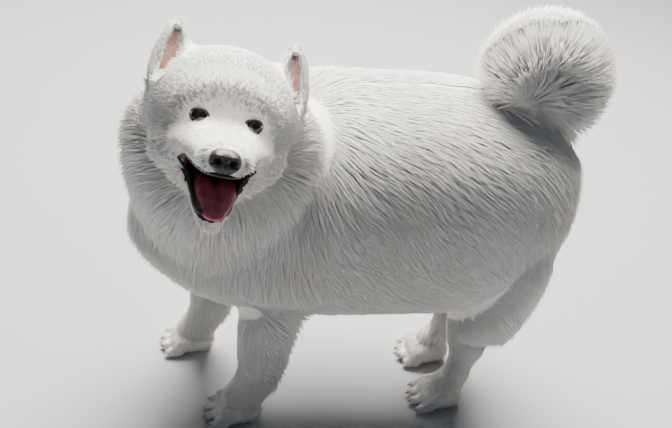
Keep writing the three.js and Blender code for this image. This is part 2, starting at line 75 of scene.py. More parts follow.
def turned(head: dict) -> np.ndarray:
    """The head's turn: yaw about up, then nose up, then roll, as one 3 x 3 rotation.

    Args:
        head: the head's place and its three angles in degrees.

    Returns:
        The rotation that takes the head's own axes to the body's.
    """
    yaw = Matrix.Rotation(math.radians(head["yaw"]), 3, "Z")
    pitch = Matrix.Rotation(-math.radians(head["nose_up"]), 3, "Y")
    roll = Matrix.Rotation(math.radians(head["roll"]), 3, "X")
    return np.array(yaw @ pitch @ roll)


HEAD_TURN = turned(HEAD)
HEAD_PLACE = np.array(HEAD["eyes"])


def from_head(points: np.ndarray) -> np.ndarray:
    """Takes points in millimetres from the head's own axes to the body's."""
    return points @ HEAD_TURN.T + HEAD_PLACE


def to_head(points: np.ndarray) -> np.ndarray:
    """Takes points in millimetres from the body's axes to the head's own."""
    return (points - HEAD_PLACE) @ HEAD_TURN


def unit(vectors: np.ndarray) -> np.ndarray:
    """Vectors scaled to length one along the last axis."""
    return vectors / np.maximum(np.linalg.norm(vectors, axis=-1, keepdims=True), 1e-9)


def rise(values: np.ndarray, span: Span) -> np.ndarray:
    """Rises from 0 at the span's start to 1 at its end as 3t^2 - 2t^3."""
    t = np.clip((values - span[0]) / (span[1] - span[0]), 0.0, 1.0)
    return t * t * (3.0 - 2.0 * t)


def fall(values: np.ndarray, span: Span) -> np.ndarray:
    """Falls from 1 at the span's start to 0 at its end, as one less the rise."""
    return 1.0 - rise(values, span)


def distance(points: np.ndarray, middle: Place) -> np.ndarray:
    """How far each point lies from a middle."""
    return np.linalg.norm(points - middle, axis=1)


def full_turn(steps: int) -> np.ndarray:
    """Evenly spaced angles round one turn."""
    return np.arange(steps) * 2 * math.pi / steps


def through(points: np.ndarray, t: np.ndarray) -> np.ndarray:
    """A Catmull-Rom curve through points, read at t from 0 to 1.

    Each span is the cubic that passes through its two ends with slopes parallel to the chord
    between their neighbours; past each end the neighbour is the end's own mirror image.

    Args:
        points: (n, k) array of points.
        t: places along the curve.

    Returns:
        (len(t), k) array.
    """
    spans = len(points) - 1
    padded = np.vstack((2 * points[0] - points[1], points, 2 * points[-1] - points[-2]))
    place = np.clip(t, 0.0, 1.0) * spans
    first = np.minimum(place.astype(int), spans - 1)
    u = (place - first)[:, None]
    a, b, c, d = (padded[first + i] for i in range(4))
    slope = c - a
    bend = 2 * a - 5 * b + 4 * c - d
    twist = 3 * b - a - 3 * c + d
    return 0.5 * (2 * b + slope * u + bend * u**2 + twist * u**3)


@dataclass(frozen=True)
class Form:
    """A rounded body swept through stations of [x, y, z, side, up, down] millimetres.

    Each section is an oval whose half sizes are side, up and down; square above 2 makes it boxier.
    The ends close in quarter ovals as long as domes. In the head's frame where on_head is set.
    """

    stations: Stations
    around: int = 40
    along: int = 30
    square: float = 2.0
    upward: tuple[float, float, float] = (0.0, 0.0, 1.0)
    domes: tuple[float, float] = (10.0, 10.0)
    on_head: bool = False

    def mesh(self, grow: float = 0.0) -> tuple[np.ndarray, list]:
        """The closed surface, grown outwards by grow millimetres.

        Args:
            grow: how far every part of the surface moves out.

        Returns:
            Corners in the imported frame's millimetres, and faces.
        """
        dome_rows = 5
        rows = self.along + 2 * dome_rows
        row = np.arange(1, rows)
        data = np.array(self.stations, dtype=float)
        t = np.clip((row - dome_rows) / self.along, 0.0, 1.0)
        centre = through(data[:, :3], t)
        size = through(data[:, 3:], t) + grow
        nudge = 0.01
        ahead = through(data[:, :3], np.minimum(t + nudge, 1.0))
        behind = through(data[:, :3], np.maximum(t - nudge, 0.0))
        tangent = unit(ahead - behind)
        side = unit(np.cross(np.array(self.upward), tangent))
        top = np.cross(tangent, side)
        closing = np.minimum(1.0, np.minimum(row, rows - row) / dome_rows) * math.pi / 2
        ends = np.where(row < dome_rows, -self.domes[0] - grow, self.domes[1] + grow)
        reach = ends * np.cos(closing)
        turn = full_turn(self.around)
        cosine = np.cos(turn)
        sine = np.sin(turn)
        full = (np.abs(cosine) ** self.square + np.abs(sine) ** self.square) ** (-1.0 / self.square)
        wide = (full * cosine)[None, :, None] * size[:, None, 0:1]
        half = np.where(sine[None, :] > 0, size[:, 1:2], size[:, 2:3])
        tall = (full * sine)[None, :, None] * half[:, :, None]
        shut = np.sin(closing)[:, None, None]
        ring = centre[:, None] + tangent[:, None] * reach[:, None, None]
        ring = ring + shut * (wide * side[:, None] + tall * top[:, None])
        start = centre[0] - tangent[0] * (self.domes[0] + grow)
        finish = centre[-1] + tangent[-1] * (self.domes[1] + grow)
        corners = np.vstack((ring.reshape(-1, 3), start, finish))
        if self.on_head:
            corners = from_head(corners)
        return corners + BODY_SHIFT, closed_faces(len(row), self.around)

    def on_side(self, side: float) -> "Form":
        """The form itself on the left, and its mirror image on the right."""
        return self if side == LEFT else replace(self, stations=mirrored(self.stations))


def closed_faces(rings: int, around: int) -> list:
    """Faces of a tube of rings, closed by fans to the two corners that follow them.

    Args:
        rings: how many rings.
        around: how many corners in each.

    Returns:
        Faces as tuples of corner numbers, turned outwards for a right-handed sweep.
    """
    ring = np.arange(rings - 1)[:, None] * around
    here = np.arange(around)[None, :]
    after = (here + 1) % around
    above = ring + around
    quads = np.stack((ring + here, ring + after, above + after, above + here), axis=-1)
    first = rings * around
    last_ring = (rings - 1) * around
    fan = here[0]
    following = after[0]
    start = np.stack((following, fan, np.full(around, first)), axis=-1)
    finish = np.stack((last_ring + fan, last_ring + following, np.full(around, first + 1)), axis=-1)
    return quads.reshape(-1, 4).tolist() + start.tolist() + finish.tolist()


def mirrored(stations: Stations) -> Stations:
    """Stations on the other side of the middle plane."""
    return tuple((x, -y, z, *sizes) for x, y, z, *sizes in stations)


def both_sides(half: Stations) -> Stations:
    """A line that starts in the middle plane, carried round to the other side as well."""
    return (*reversed(mirrored(half[1:])), *half)


def placed(stations: Stations, leg: dict, side: float) -> Stations:
    """Moves leg stations to a paw on one side of the body."""
    forward = leg["forward"] - side * leg["stagger"]
    return tuple((forward + x, side * (leg["side"] + y), z, *sizes) for x, y, z, *sizes in stations)


def new_object(name: str, corners: np.ndarray, faces: list) -> bpy.types.Object:
    """Makes a smooth-shaded object from corners in millimetres.

    Args:
        name: the piece's name.
        corners: (n, 3) places.
        faces: corner numbers of each face.

    Returns:
        The new object, in the scene.
    """
    made = bpy.data.meshes.new(name)
    made.from_pydata((corners * MM).tolist(), [], faces)
    made.validate()
    return shown(name, made)


def shown(name: str, made: bpy.types.Mesh) -> bpy.types.Object:
    """Puts a mesh into the scene as a smooth-shaded object.

    Args:
        name: the piece's name.
        made: its mesh.

    Returns:
        The new object.
    """
    made.polygons.foreach_set("use_smooth", np.ones(len(made.polygons), dtype=bool))
    piece = bpy.data.objects.new(name, made)
    bpy.context.scene.collection.objects.link(piece)
    return piece


def read(items: bpy.types.bpy_prop_collection, word: str, width: int, kind: type = float) -> np.ndarray:
    """One property of every item of a mesh, as rows.

    Args:
        items: the mesh's corners, edges, faces or the like.
        word: the property's name.
        width: how many numbers it has.
        kind: float or int.

    Returns:
        (len(items), width) array.
    """
    made = np.empty(len(items) * width, dtype=kind)
    items.foreach_get(word, made)
    return made.reshape(-1, width)


def joined(meshes: list) -> tuple[np.ndarray, list]:
    """Puts several meshes into one.

    Args:
        meshes: pairs of corners and faces.

    Returns:
        The corners of all, and faces renumbered to match.
    """
    corners = []
    faces = []
    count = 0
    for places, polygons in meshes:
        corners.append(places)
        faces.extend([[corner + count for corner in face] for face in polygons])
        count += len(places)
    return np.vstack(corners), faces


def baked(piece: bpy.types.Object) -> None:
    """Applies the piece's modifiers to its mesh.

    Args:
        piece: the object.
    """
    graph = bpy.context.evaluated_depsgraph_get()
    made = bpy.data.meshes.new_from_object(piece.evaluated_get(graph))
    piece.modifiers.clear()
    piece.data = made


# The outer forms of the body, out to the tips of the coat.
TORSO = Form(
    (
        (-325, 0, 378, 74, 84, 92),
        (-296, 0, 384, 120, 132, 135),
        (-240, 0, 394, 148, 176, 182),
        (-130, 0, 400, 172, 194, 200),
        (0, 0, 402, 178, 191, 204),
        (110, 0, 402, 174, 178, 204),
        (205, 0, 404, 155, 160, 185),
        (272, 0, 415, 122, 122, 150),
        (318, 0, 430, 80, 70, 100),
    ),
    square=2.25,
    domes=(16, 18),
)
NECK = Form(
    (
        (186, -30, 392, 142, 135, 150),
        (200, 32, 452, 152, 138, 160),
        (208, 80, 520, 150, 122, 150),
        (212, 112, 575, 132, 106, 124),
        (214, 132, 612, 104, 84, 92),
    ),
    domes=(30, 20),
)
FORELEG_FORM = (
    (-36, 0, 330, 52, 60, 65),
    (-32, 0, 200, 46, 50, 54),
    (-30, 0, 140, 42, 45, 48),
    (-25, 0, 100, 38, 39, 43),
    (-14, 0, 66, 35, 37, 40),
    (-4, 0, 40, 34, 40, 38),
)
HIND_LEG_FORM = (
    (-22, 0, 240, 46, 56, 70),
    (-24, 0, 160, 36, 44, 52),
    (-22, 0, 110, 30, 29, 33),
    (-18, 0, 72, 30, 27, 30),
    (-8, 0, 40, 31, 36, 32),
)
THIGH_FORM = (
    (-55, 16, 420, 66, 95, 70),
    (-52, 18, 340, 74, 100, 80),
    (-48, 16, 250, 64, 85, 72),
    (-42, 12, 185, 48, 68, 62),
)
# The tail leaves the rump at its root and turns through these degrees round the curl.
TAIL_ROOT = (-264, 0, 505, 40, 42, 38)
TAIL_TURN = (-42.0, 215.0)
TAIL_STEPS = 6
# The plug fills the ring of the curl, where the plume's hair meets from all sides.
TAIL_PLUG = Form(((-256, -20, 588, 42, 42, 42), (-256, 28, 588, 42, 42, 42)), domes=(12, 12), along=6)
PAW_FORM = (
    (-28, 0, 22, 28, 20, 24),
    (0, 0, 25, 36, 26, 26),
    (30, 0, 20, 37, 19, 22),
)
TOE = {
    "spread": 19.0,
    "middle": 1.5,
    "splay": 1.08,
    "reach": (48.0, 56.0, 56.0, 48.0),
    "across": 9.0,
    "high": 13.0,
    "drop": 3.0,
    "long": 30.0,
    "tip": 6.0,
}
CRANIUM = Form(
    (
        (-148, 0, 0, 70, 62, 72),
        (-110, 0, 6, 94, 80, 86),
        (-70, 0, 8, 100, 86, 92),
        (-38, 0, 4, 92, 78, 80),
        (-12, 0, 0, 74, 54, 58),
    ),
    domes=(20, 16),
    on_head=True,
)
CHEEKS = Form(
    (
        (-44, 0, -30, 78, 36, 30),
        (-14, 0, -33, 66, 24, 16),
        (14, 0, -35, 54, 20, 12),
        (36, 0, -37, 44, 16, 11),
    ),
    domes=(46, 10),
    on_head=True,
)
MUZZLE = Form(
    (
        (-20, 0, -27, 56, 34, 31),
        (14, 0, -31, 50, 29, 27),
        (50, 0, -35, 40, 24, 25),
        (80, 0, -38, 30, 20, 20),
    ),
    domes=(10, 8),
    on_head=True,
)
JAW = Form(
    (
        (-34, 0, -78, 40, 14, 22),
        (5, 0, -89, 31, 9, 22),
        (34, 0, -101, 24, 7, 20),
        (48, 0, -107, 18, 6, 16),
    ),
    domes=(34, 14),
    on_head=True,
)
MOUTH = Form(
    (
        (-30, 0, -66, 35, 11, 12),
        (10, 0, -70, 29, 15, 16),
        (44, 0, -77, 22, 21, 20),
        (66, 0, -80, 17, 23, 20),
    ),
    domes=(8, 30),
    on_head=True,
)
# These forms of the left side are mirrored for the right one.
EYE_SOCKET = Form(
    ((-16, 31.5, 0, 20, 16, 15), (-12, 31.5, 0, 18, 15, 14)), domes=(12, 13), along=6, on_head=True
)
CHEEK_SIDE = Form(
    ((-40, 50, -38, 32, 30, 34), (-22, 46, -38, 26, 26, 28)), domes=(20, 16), along=6, on_head=True
)
MOUTH_PAD = Form(
    ((-48, 42, -70, 9, 16, 16), (-21, 41, -67, 8, 12, 13)), domes=(10, 7), along=6, on_head=True
)
MOUTH_FOLD = Form(
    ((-28, 45, -54, 5, 7, 8), (-12, 37, -68, 5, 7, 8), (4, 30, -81, 4, 5, 6)),
    along=8,
    on_head=True,
)
TONGUE = Form(
    (
        (-26, 2, -76, 26, 6, 8),
        (8, 3, -83, 25, 6, 8),
        (34, 3, -94.5, 19, 6, 7),
        (50, 2, -103, 13, 5, 6),
    ),
    around=56,
    along=40,
    square=2.4,
    domes=(6, 10),
    on_head=True,
)
# The lips lie on the skin's surface, from the middle plane round to the corner of the mouth.
UPPER_LIP_HALF = (
    (82.5, 0, -53.0, 2.2, 2.4, 2.4),
    (80.0, 10.5, -53.2, 2.2, 2.4, 2.4),
    (71.7, 19.3, -52.6, 2.0, 2.2, 2.2),
    (58.0, 24.8, -51.8, 1.8, 2.0, 2.0),
    (42.0, 29.4, -50.9, 1.8, 1.8, 1.8),
    (25.0, 33.5, -49.2, 1.8, 1.8, 1.8),
    (8.0, 37.5, -47.8, 1.8, 1.8, 1.8),
    (-5.5, 43.2, -49.8, 1.7, 1.7, 1.7),
    (-8.4, 46.5, -52.9, 1.5, 1.5, 1.5),
)
LOWER_LIP_HALF = (
    (54.0, 0, -106.0, 2.8, 2.8, 2.8),
    (48.8, 10.2, -104.0, 2.8, 2.8, 2.8),
    (38.5, 17.6, -100.8, 2.8, 2.8, 2.8),
    (29.0, 21.0, -96.6, 2.8, 2.8, 2.8),
    (19.8, 22.8, -91.3, 2.7, 2.7, 2.7),
    (10.6, 26.5, -84.5, 2.6, 2.6, 2.6),
    (3.8, 29.3, -77.4, 2.5, 2.5, 2.5),
    (-3.0, 32.2, -70.4, 2.4, 2.4, 2.4),
    (-9.2, 36.2, -64.0, 2.2, 2.2, 2.2),
    (-10.6, 41.4, -58.8, 1.9, 1.9, 1.9),
    (-9.2, 46.6, -53.8, 1.5, 1.5, 1.5),
)
EAR = Form(
    (
        (-65, 73, 26, 33, 16, 18),
        (-71, 74, 60, 29, 13, 14),
        (-77, 75, 88, 20, 10, 10),
        (-82, 74, 105, 11, 7, 7),
    ),
    upward=ALONG_BODY,
    domes=(10, 5),
    on_head=True,
)
EAR_CUP = replace(EAR, stations=((-50, 77, 38, 20, 9, 10), (-60, 76, 68, 15, 7, 8), (-71, 75, 94, 6, 5, 5)))
EYE_PLACE = (-8.5, 31.5, 0.0)
NOSE_PLACE = (84.0, 0.0, -37.0)

# How deep the skin lies under the outer forms, in millimetres.
TORSO_DEPTH = 11.0
NECK_DEPTH = 20.0
THIGH_DEPTH = 13.0
TAIL_DEPTH = 15.0
CROWN_DEPTH = 5.0
FACE_DEPTH = 1.5
LEG_DEPTH = 8.0
PAW_DEPTH = 3.0
EAR_DEPTH = 1.5

# Where the parts of the face end, in the head's axes and millimetres.
EAR_PATCH = {
    "crown": (-70.0, 0.0, 8.0),
    "oval": (95.0, 92.0, 78.0),
    "edge": (1.02, 1.14),
    "middle": (-72.0, 0.0, 60.0),
    "round": 105.0,
    "thick": 34.0,
    "side": 42.0,
    "low": 26.0,
}
EAR_CUP_MARGIN = 2.0
EAR_CUP_HIGH = (42.0, 94.0)
LIP_STEPS = 60
MOUTH_MIDDLE = (30.0, 0.0, -70.0)
MOUTH_ROUND = 100.0
FACE_BACK = -30.0
JAW_LINING = {"tilt": 0.1, "top": -62.0, "back": -42.0, "side": 44.0}
LINING_MARGIN = 0.6
LINING_LIP_MARGIN = 0.8


def tail_stations() -> Stations:
    """The tail leaves the rump, rises behind it and curls forward over the back.

    Returns:
        The stations, round the circle of TAIL_CURL.
    """
    made = [TAIL_ROOT]
    for angle in np.radians(np.linspace(*TAIL_TURN, TAIL_STEPS)):
        x = TAIL_CURL["x"] - TAIL_CURL["radius"] * math.cos(angle)
        z = TAIL_CURL["z"] + TAIL_CURL["radius"] * math.sin(angle)
        made.append((x, TAIL_CURL["y"], z, TAIL_CURL["plume"], TAIL_CURL["side"], TAIL_CURL["side"]))
    return tuple(made)


@dataclass(frozen=True)
class Skin:
    """The dog's skin: every form under the coat, melted into one surface without a seam.

    The spans are the millimetres over which the smoothing of a region sets in or dies away.
    """

    voxel: float = 0.0042
    passes: int = 24
    apron_passes: int = 130
    floor_gap: float = 0.6
    give: float = 0.6
    held: float = 0.86
    crease_loss: float = 0.8
    face_ahead: Span = (-70.0, -20.0)
    face_low: Span = (-110.0, -60.0)
    crease_side: Span = (36.0, 50.0)
    crease_ahead: Span = (10.0, 40.0)
    foot_top: Span = (50.0, 90.0)
    apron_ahead: Span = (70.0, 130.0)
    apron_low: Span = (240.0, 300.0)
    apron_high: Span = (500.0, 560.0)
    apron_from_head: Span = (130.0, 170.0)
    head_middle: Place = (-40.0, 0.0, -20.0)
    map_angle: float = 66.0
    map_margin: float = 0.002

    def forms(self) -> list:
        """Every form with how far it is grown to reach the skin.

        Returns:
            Pairs of a form and millimetres.
        """
        made = [
            (TORSO, -TORSO_DEPTH),
            (NECK, -NECK_DEPTH),
            (Form(tail_stations(), upward=ACROSS_BODY, domes=(10, 20)), -TAIL_DEPTH),
            (CRANIUM, -CROWN_DEPTH),
            (CHEEKS, -FACE_DEPTH),
            (MUZZLE, -FACE_DEPTH),
            (JAW, -FACE_DEPTH),
            (TAIL_PLUG, 0.0),
        ]
        for side in SIDES:
            for form in (EYE_SOCKET, CHEEK_SIDE, MOUTH_PAD, MOUTH_FOLD):
                made.append((form.on_side(side), 0.0))
            made.append((EAR.on_side(side), -EAR_DEPTH))
            thigh = Form(placed(THIGH_FORM, HIND_LEG, side), upward=ALONG_BODY, domes=(20, 24))
            made.append((thigh, -THIGH_DEPTH))
            for place, shape in ((FORELEG, FORELEG_FORM), (HIND_LEG, HIND_LEG_FORM)):
                made.append((Form(placed(shape, place, side), upward=ALONG_BODY), -LEG_DEPTH))
                made.append((Form(placed(PAW_FORM, place, side), square=2.3, domes=(14, 8)), -PAW_DEPTH))
                made.extend((toe, -PAW_DEPTH / 2) for toe in self.toes(place, side))
        return made

    def hollows(self) -> bpy.types.Object:
        """The hollow of the mouth and of both ear cups, to be cut out of the skin."""
        forms = [MOUTH, *(EAR_CUP.on_side(side) for side in SIDES)]
        return new_object("hollows", *joined([form.mesh() for form in forms]))

    def toes(self, place: dict, side: float) -> list[Form]:
        """The four toes of one paw.

        Args:
            place: the leg's place.
            side: which side of the body.

        Returns:
            A form for each toe.
        """
        made = []
        high = TOE["high"]
        low = high - TOE["drop"]
        for number, reach in enumerate(TOE["reach"]):
            y = (number - TOE["middle"]) * TOE["spread"]
            stations = (
                (reach - TOE["long"], y, high, TOE["across"], high, high),
                (reach - TOE["tip"], y * TOE["splay"], low, TOE["across"] - 1, low, low),
            )
            made.append(Form(placed(stations, place, side), around=20, along=8, domes=(4, 6)))
        return made

    def build(self) -> bpy.types.Object:
        """Melts the forms together, smooths where they join and opens the mouth and the ears.

        Returns:
            The skin's object.
        """
        corners, faces = joined([form.mesh(grow) for form, grow in self.forms()])
        corners[:, 2] = np.maximum(corners[:, 2], self.floor_gap)
        piece = new_object("skin", corners, faces)
        melt = piece.modifiers.new("melt", "REMESH")
        melt.mode = "VOXEL"
        melt.voxel_size = self.voxel
        melt.use_smooth_shade = True
        baked(piece)
        self.smooth(piece.data)
        cutter = self.hollows()
        cut = piece.modifiers.new("hollows", "BOOLEAN")
        cut.object = cutter
        cut.solver = "FAST"
        baked(piece)
        bpy.data.objects.remove(cutter)
        self.unwrap(piece)
        self.dress(piece)
        return piece

    def dress(self, piece: bpy.types.Object) -> None:
        """Gives the skin its undercoat, the mouth its dark lining, which is partly painted shade, and the
        ear cups their bare skin.

        Args:
            piece: the skin's object.
        """
        made = piece.data
        for finish in (UNDERCOAT, MOUTH_LINING_AND_SHADE, EAR_SKIN):
            made.materials.append(finish.material())
        middle = read(made.polygons, "center", 3) / MM - BODY_SHIFT
        roots = Roots(middle, read(made.polygons, "normal", 3), middle)
        slot = np.zeros(len(made.polygons), dtype=int)
        # The mouth's walls, the skin between the lips and the jaw's top are painted with the dark lining:
        # partly its own colour, partly painted shade of the mouth's inside.
        slot[in_mouth(roots)] = 1
        slot[in_ear_cup(roots)] = 2
        made.polygons.foreach_set("material_index", slot)

    def smooth(self, made: bpy.types.Mesh) -> None:
        """Moves each corner to the middle of its neighbours, over and over.

        The face, the ears and the feet give way less. The later passes move only the chest's apron.

        Args:
            made: the skin's mesh.
        """
        corners = read(made.vertices, "co", 3)
        edges = read(made.edges, "vertices", 2, int)
        first, second = edges.T
        count = np.bincount(edges.ravel(), minlength=len(corners))[:, None]
        body = corners / MM - BODY_SHIFT
        head = to_head(body)
        face = rise(head[:, 0], self.face_ahead) * rise(-head[:, 2], self.face_low)
        crease = rise(np.abs(head[:, 1]), self.crease_side) * fall(head[:, 0], self.crease_ahead)
        face = face * (1.0 - self.crease_loss * crease)
        firm = np.maximum(np.maximum(face, fall(body[:, 2], self.foot_top)), on_ear(head))
        give = (1.0 - self.held * firm)[:, None] * self.give
        apron = rise(body[:, 0], self.apron_ahead) * rise(body[:, 2], self.apron_low)
        apron = apron * rise(distance(head, self.head_middle), self.apron_from_head)
        apron = apron * fall(body[:, 2], self.apron_high)
        for number in range(self.passes + self.apron_passes):
            if number == self.passes:
                give = self.give * apron[:, None]
            sums = [
                np.bincount(first, corners[second, axis], len(corners))
                + np.bincount(second, corners[first, axis], len(corners))
                for axis in range(3)
            ]
            corners = corners + (np.stack(sums, axis=1) / count - corners) * give
        made.vertices.foreach_set("co", corners.ravel())
        made.update()

    def unwrap(self, piece: bpy.types.Object) -> None:
        """Lays the skin flat in its own map, which the coat's tufts share.

        Args:
            piece: the skin's object.
        """
        bpy.context.view_layer.objects.active = piece
        piece.select_set(True)
        bpy.ops.object.mode_set(mode="EDIT")
        bpy.ops.mesh.select_all(action="SELECT")
        bpy.ops.uv.smart_project(angle_limit=math.radians(self.map_angle), island_margin=self.map_margin)
        bpy.ops.object.mode_set(mode="OBJECT")
        piece.data.uv_layers[0].name = "OFBake"


class Rows:
    """Arrays that say something of the same places, row by row."""

    def picked(self, keep: np.ndarray) -> "Rows":
        """Only the rows that are kept."""
        return type(self)(*(getattr(self, part.name)[keep] for part in fields(self)))


@dataclass
class Roots(Rows):
    """Places on the skin where tufts grow, in the body's axes and millimetres, with the skin's map."""

    place: np.ndarray
    out: np.ndarray
    map_place: np.ndarray


@dataclass
class Growth(Rows):
    """How the hair grows at each root: its lie, length, width, lift from the skin, droop and room."""

    lie: np.ndarray
    length: np.ndarray
    width: np.ndarray
    lift: np.ndarray
    droop: np.ndarray
    room: np.ndarray


def inside_form(form: Form, head: np.ndarray, margin: float) -> np.ndarray:
    """True where a place lies inside a form of the head that runs along x.

    Args:
        form: the form.
        head: places in the head's axes.
        margin: how far the form is grown, in millimetres.

    Returns:
        One truth for each place.
    """
    data = np.array(form.stations, dtype=float)
    x = head[:, 0]
    y, z, side, up, down = (np.interp(x, data[:, 0], data[:, column]) for column in range(1, 6))
    across = (head[:, 1] - y) / (side + margin)
    above = head[:, 2] - z
    tall = above / (np.where(above > 0, up, down) + margin)
    within = (x > data[0, 0] - form.domes[0] - margin) & (x < data[-1, 0] + form.domes[1] + margin)
    return within & (across**2 + tall**2 < 1.0)


def on_ear(head: np.ndarray) -> np.ndarray:
    """How far places stand out of the crown's oval where an ear grows.

    Args:
        head: places in the head's axes.

    Returns:
        A share from 0 to 1 for each place.
    """
    crown = np.linalg.norm((head - EAR_PATCH["crown"]) / EAR_PATCH["oval"], axis=1)
    near = distance(head, EAR_PATCH["middle"]) < EAR_PATCH["round"]
    near &= np.abs(head[:, 0] - EAR_PATCH["middle"][0]) < EAR_PATCH["thick"]
    near &= (np.abs(head[:, 1]) > EAR_PATCH["side"]) & (head[:, 2] > EAR_PATCH["low"])
    return rise(crown, EAR_PATCH["edge"]) * near


def near_lips(head: np.ndarray) -> np.ndarray:
    """The distance from each place to the nearer lip's middle line.

    Args:
        head: places in the head's axes.

    Returns:
        Millimetres, endless where the mouth is far away.
    """
    t = np.linspace(0.0, 1.0, LIP_STEPS)
    halves = (UPPER_LIP_HALF, LOWER_LIP_HALF)
    line = np.vstack([through(np.array(both_sides(half), dtype=float)[:, :3], t) for half in halves])
    away = np.full(len(head), np.inf)
    close = np.flatnonzero(distance(head, MOUTH_MIDDLE) < MOUTH_ROUND)
    away[close] = np.linalg.norm(head[close, None] - line[None], axis=2).min(axis=1)
    return away


def between_lips(head: np.ndarray, margin: float) -> np.ndarray:
    """True where a place, seen from in front, lies between the lips' middle lines.

    Args:
        head: places in the head's axes.
        margin: how far the opening is grown, in millimetres.

    Returns:
        One truth for each place.
    """
    side = np.abs(head[:, 1])
    upper = np.array(UPPER_LIP_HALF, dtype=float)
    lower = np.array(LOWER_LIP_HALF, dtype=float)
    top = np.interp(side, upper[:, 1], upper[:, 2]) + margin
    low = np.interp(side, lower[:, 1], lower[:, 2]) - margin
    inside = (head[:, 2] < top) & (head[:, 2] > low)
    return inside & (side < upper[-1, 1] + margin) & (head[:, 0] > FACE_BACK)


def in_mouth(roots: Roots) -> np.ndarray:
    """True on the walls of the mouth's hollow, on the skin between the lips and on the top of the jaw,
    which are painted dark, partly as painted shade.

    Args:
        roots: places on the skin.

    Returns:
        One truth for each place.
    """
    head = to_head(roots.place)
    jaw_top = (roots.out @ HEAD_TURN[:, 2] > JAW_LINING["tilt"]) & (head[:, 2] < JAW_LINING["top"])
    jaw_top &= (head[:, 0] > JAW_LINING["back"]) & (np.abs(head[:, 1]) < JAW_LINING["side"])
    return inside_form(MOUTH, head, LINING_MARGIN) | between_lips(head, -LINING_LIP_MARGIN) | jaw_top


def in_ear_cup(roots: Roots, margin: float = -2.0) -> np.ndarray:
    """True on the walls of the ears' hollows.

    Args:
        roots: places on the skin.
        margin: how far the hollows are grown sideways, in millimetres.

    Returns:
        One truth for each place.
    """
    head = to_head(roots.place)
    data = np.array(EAR_CUP.stations, dtype=float)
    x, y, side, deep = (np.interp(head[:, 2], data[:, 2], data[:, column]) for column in (0, 1, 3, 4))
    ahead = (head[:, 0] - x) / (deep + EAR_CUP_MARGIN)
    across = (np.abs(head[:, 1]) - y) / (side + margin)
    return (ahead**2 + across**2 < 1.0) & (head[:, 2] > EAR_CUP_HIGH[0]) & (head[:, 2] < EAR_CUP_HIGH[1])


class Zone(Enum):
    """The parts of the coat, each with its own way of growing."""

    TRUNK = "trunk"
    RUMP = "rump"
    RUFF = "ruff"
    HEAD = "head"
    EAR = "ear"
    LEG = "leg"
    PAW = "paw"
    TAIL = "tail"


@dataclass(frozen=True)
class Habit:
    """A zone's hair: length, width, lift in radians, droop, and square millimetres of skin to a tuft."""

    length: float
    width: float
    lift: float
    droop: float
    room: float


HABITS = {
    Zone.TRUNK: Habit(46.0, 2.3, 0.15, 0.04, 8.9),
    Zone.RUMP: Habit(50.0, 2.3, 0.18, 0.12, 8.9),
    Zone.RUFF: Habit(54.0, 2.0, 0.36, 0.12, 7.6),
    Zone.HEAD: Habit(9.5, 1.25, 0.1, 0.0, 3.3),
    Zone.EAR: Habit(8.0, 1.4, 0.16, 0.0, 2.3),
    Zone.LEG: Habit(22.0, 1.7, 0.32, 0.1, 7.5),
    Zone.PAW: Habit(10.0, 1.6, 0.34, 0.0, 7.5),
    Zone.TAIL: Habit(38.0, 2.2, 0.75, 0.04, 5.5),
}
HABIT_FLOOR = 0.01


@dataclass(frozen=True)
class ZoneMap:
    """Where the coat's zones fade into each other, in millimetres.

    The spans of the head and the face are in the head's axes, the others in the body's.
    """

    head_middle: Place = (-45.0, 0.0, -20.0)
    head_round: Span = (112.0, 150.0)
    face_tilt: float = 0.5
    face_ahead: Span = (-88.0, -28.0)
    tail_slope: float = 0.42
    tail_from: float = -284.0
    tail_low: Span = (540.0, 565.0)
    tail_round: float = 125.0
    tail_front: float = -120.0
    leg_top: Span = (130.0, 250.0)
    paw_top: Span = (38.0, 62.0)
    ruff_way: Place = (0.12, 0.62, 0.78)
    ruff_along: Span = (330.0, 400.0)
    ruff_ahead: Span = (10.0, 110.0)
    rump_tilt: float = 0.15
    rump_back: Span = (-200.0, -110.0)

    def shares(self, place: np.ndarray) -> dict:
        """How much each place belongs to each zone; the shares add to one.

        Args:
            place: (n, 3) places in the body's axes.

        Returns:
            A share for each zone.
        """
        x = place[:, 0]
        z = place[:, 2]
        head = to_head(place)
        near_head = fall(distance(head, self.head_middle), self.head_round)
        curl = np.hypot(x - TAIL_CURL["x"], z - TAIL_CURL["z"])
        tail = rise(z - self.tail_slope * (x - self.tail_from), self.tail_low)
        made = {
            Zone.PAW: fall(z, self.paw_top),
            Zone.LEG: fall(z, self.leg_top),
            Zone.TAIL: tail * (curl < self.tail_round) * (x < self.tail_front),
            Zone.EAR: on_ear(head),
            Zone.HEAD: rise(head[:, 0] + self.face_tilt * head[:, 2], self.face_ahead) * near_head,
            Zone.RUFF: rise(place @ np.array(self.ruff_way), self.ruff_along) * rise(x, self.ruff_ahead),
            Zone.RUMP: fall(x + self.rump_tilt * z, self.rump_back),
            Zone.TRUNK: np.ones(len(place)),
        }
        left = np.ones(len(place))
        for zone, share in made.items():
            made[zone] = left * share
            left = left * (1.0 - share)
        return made


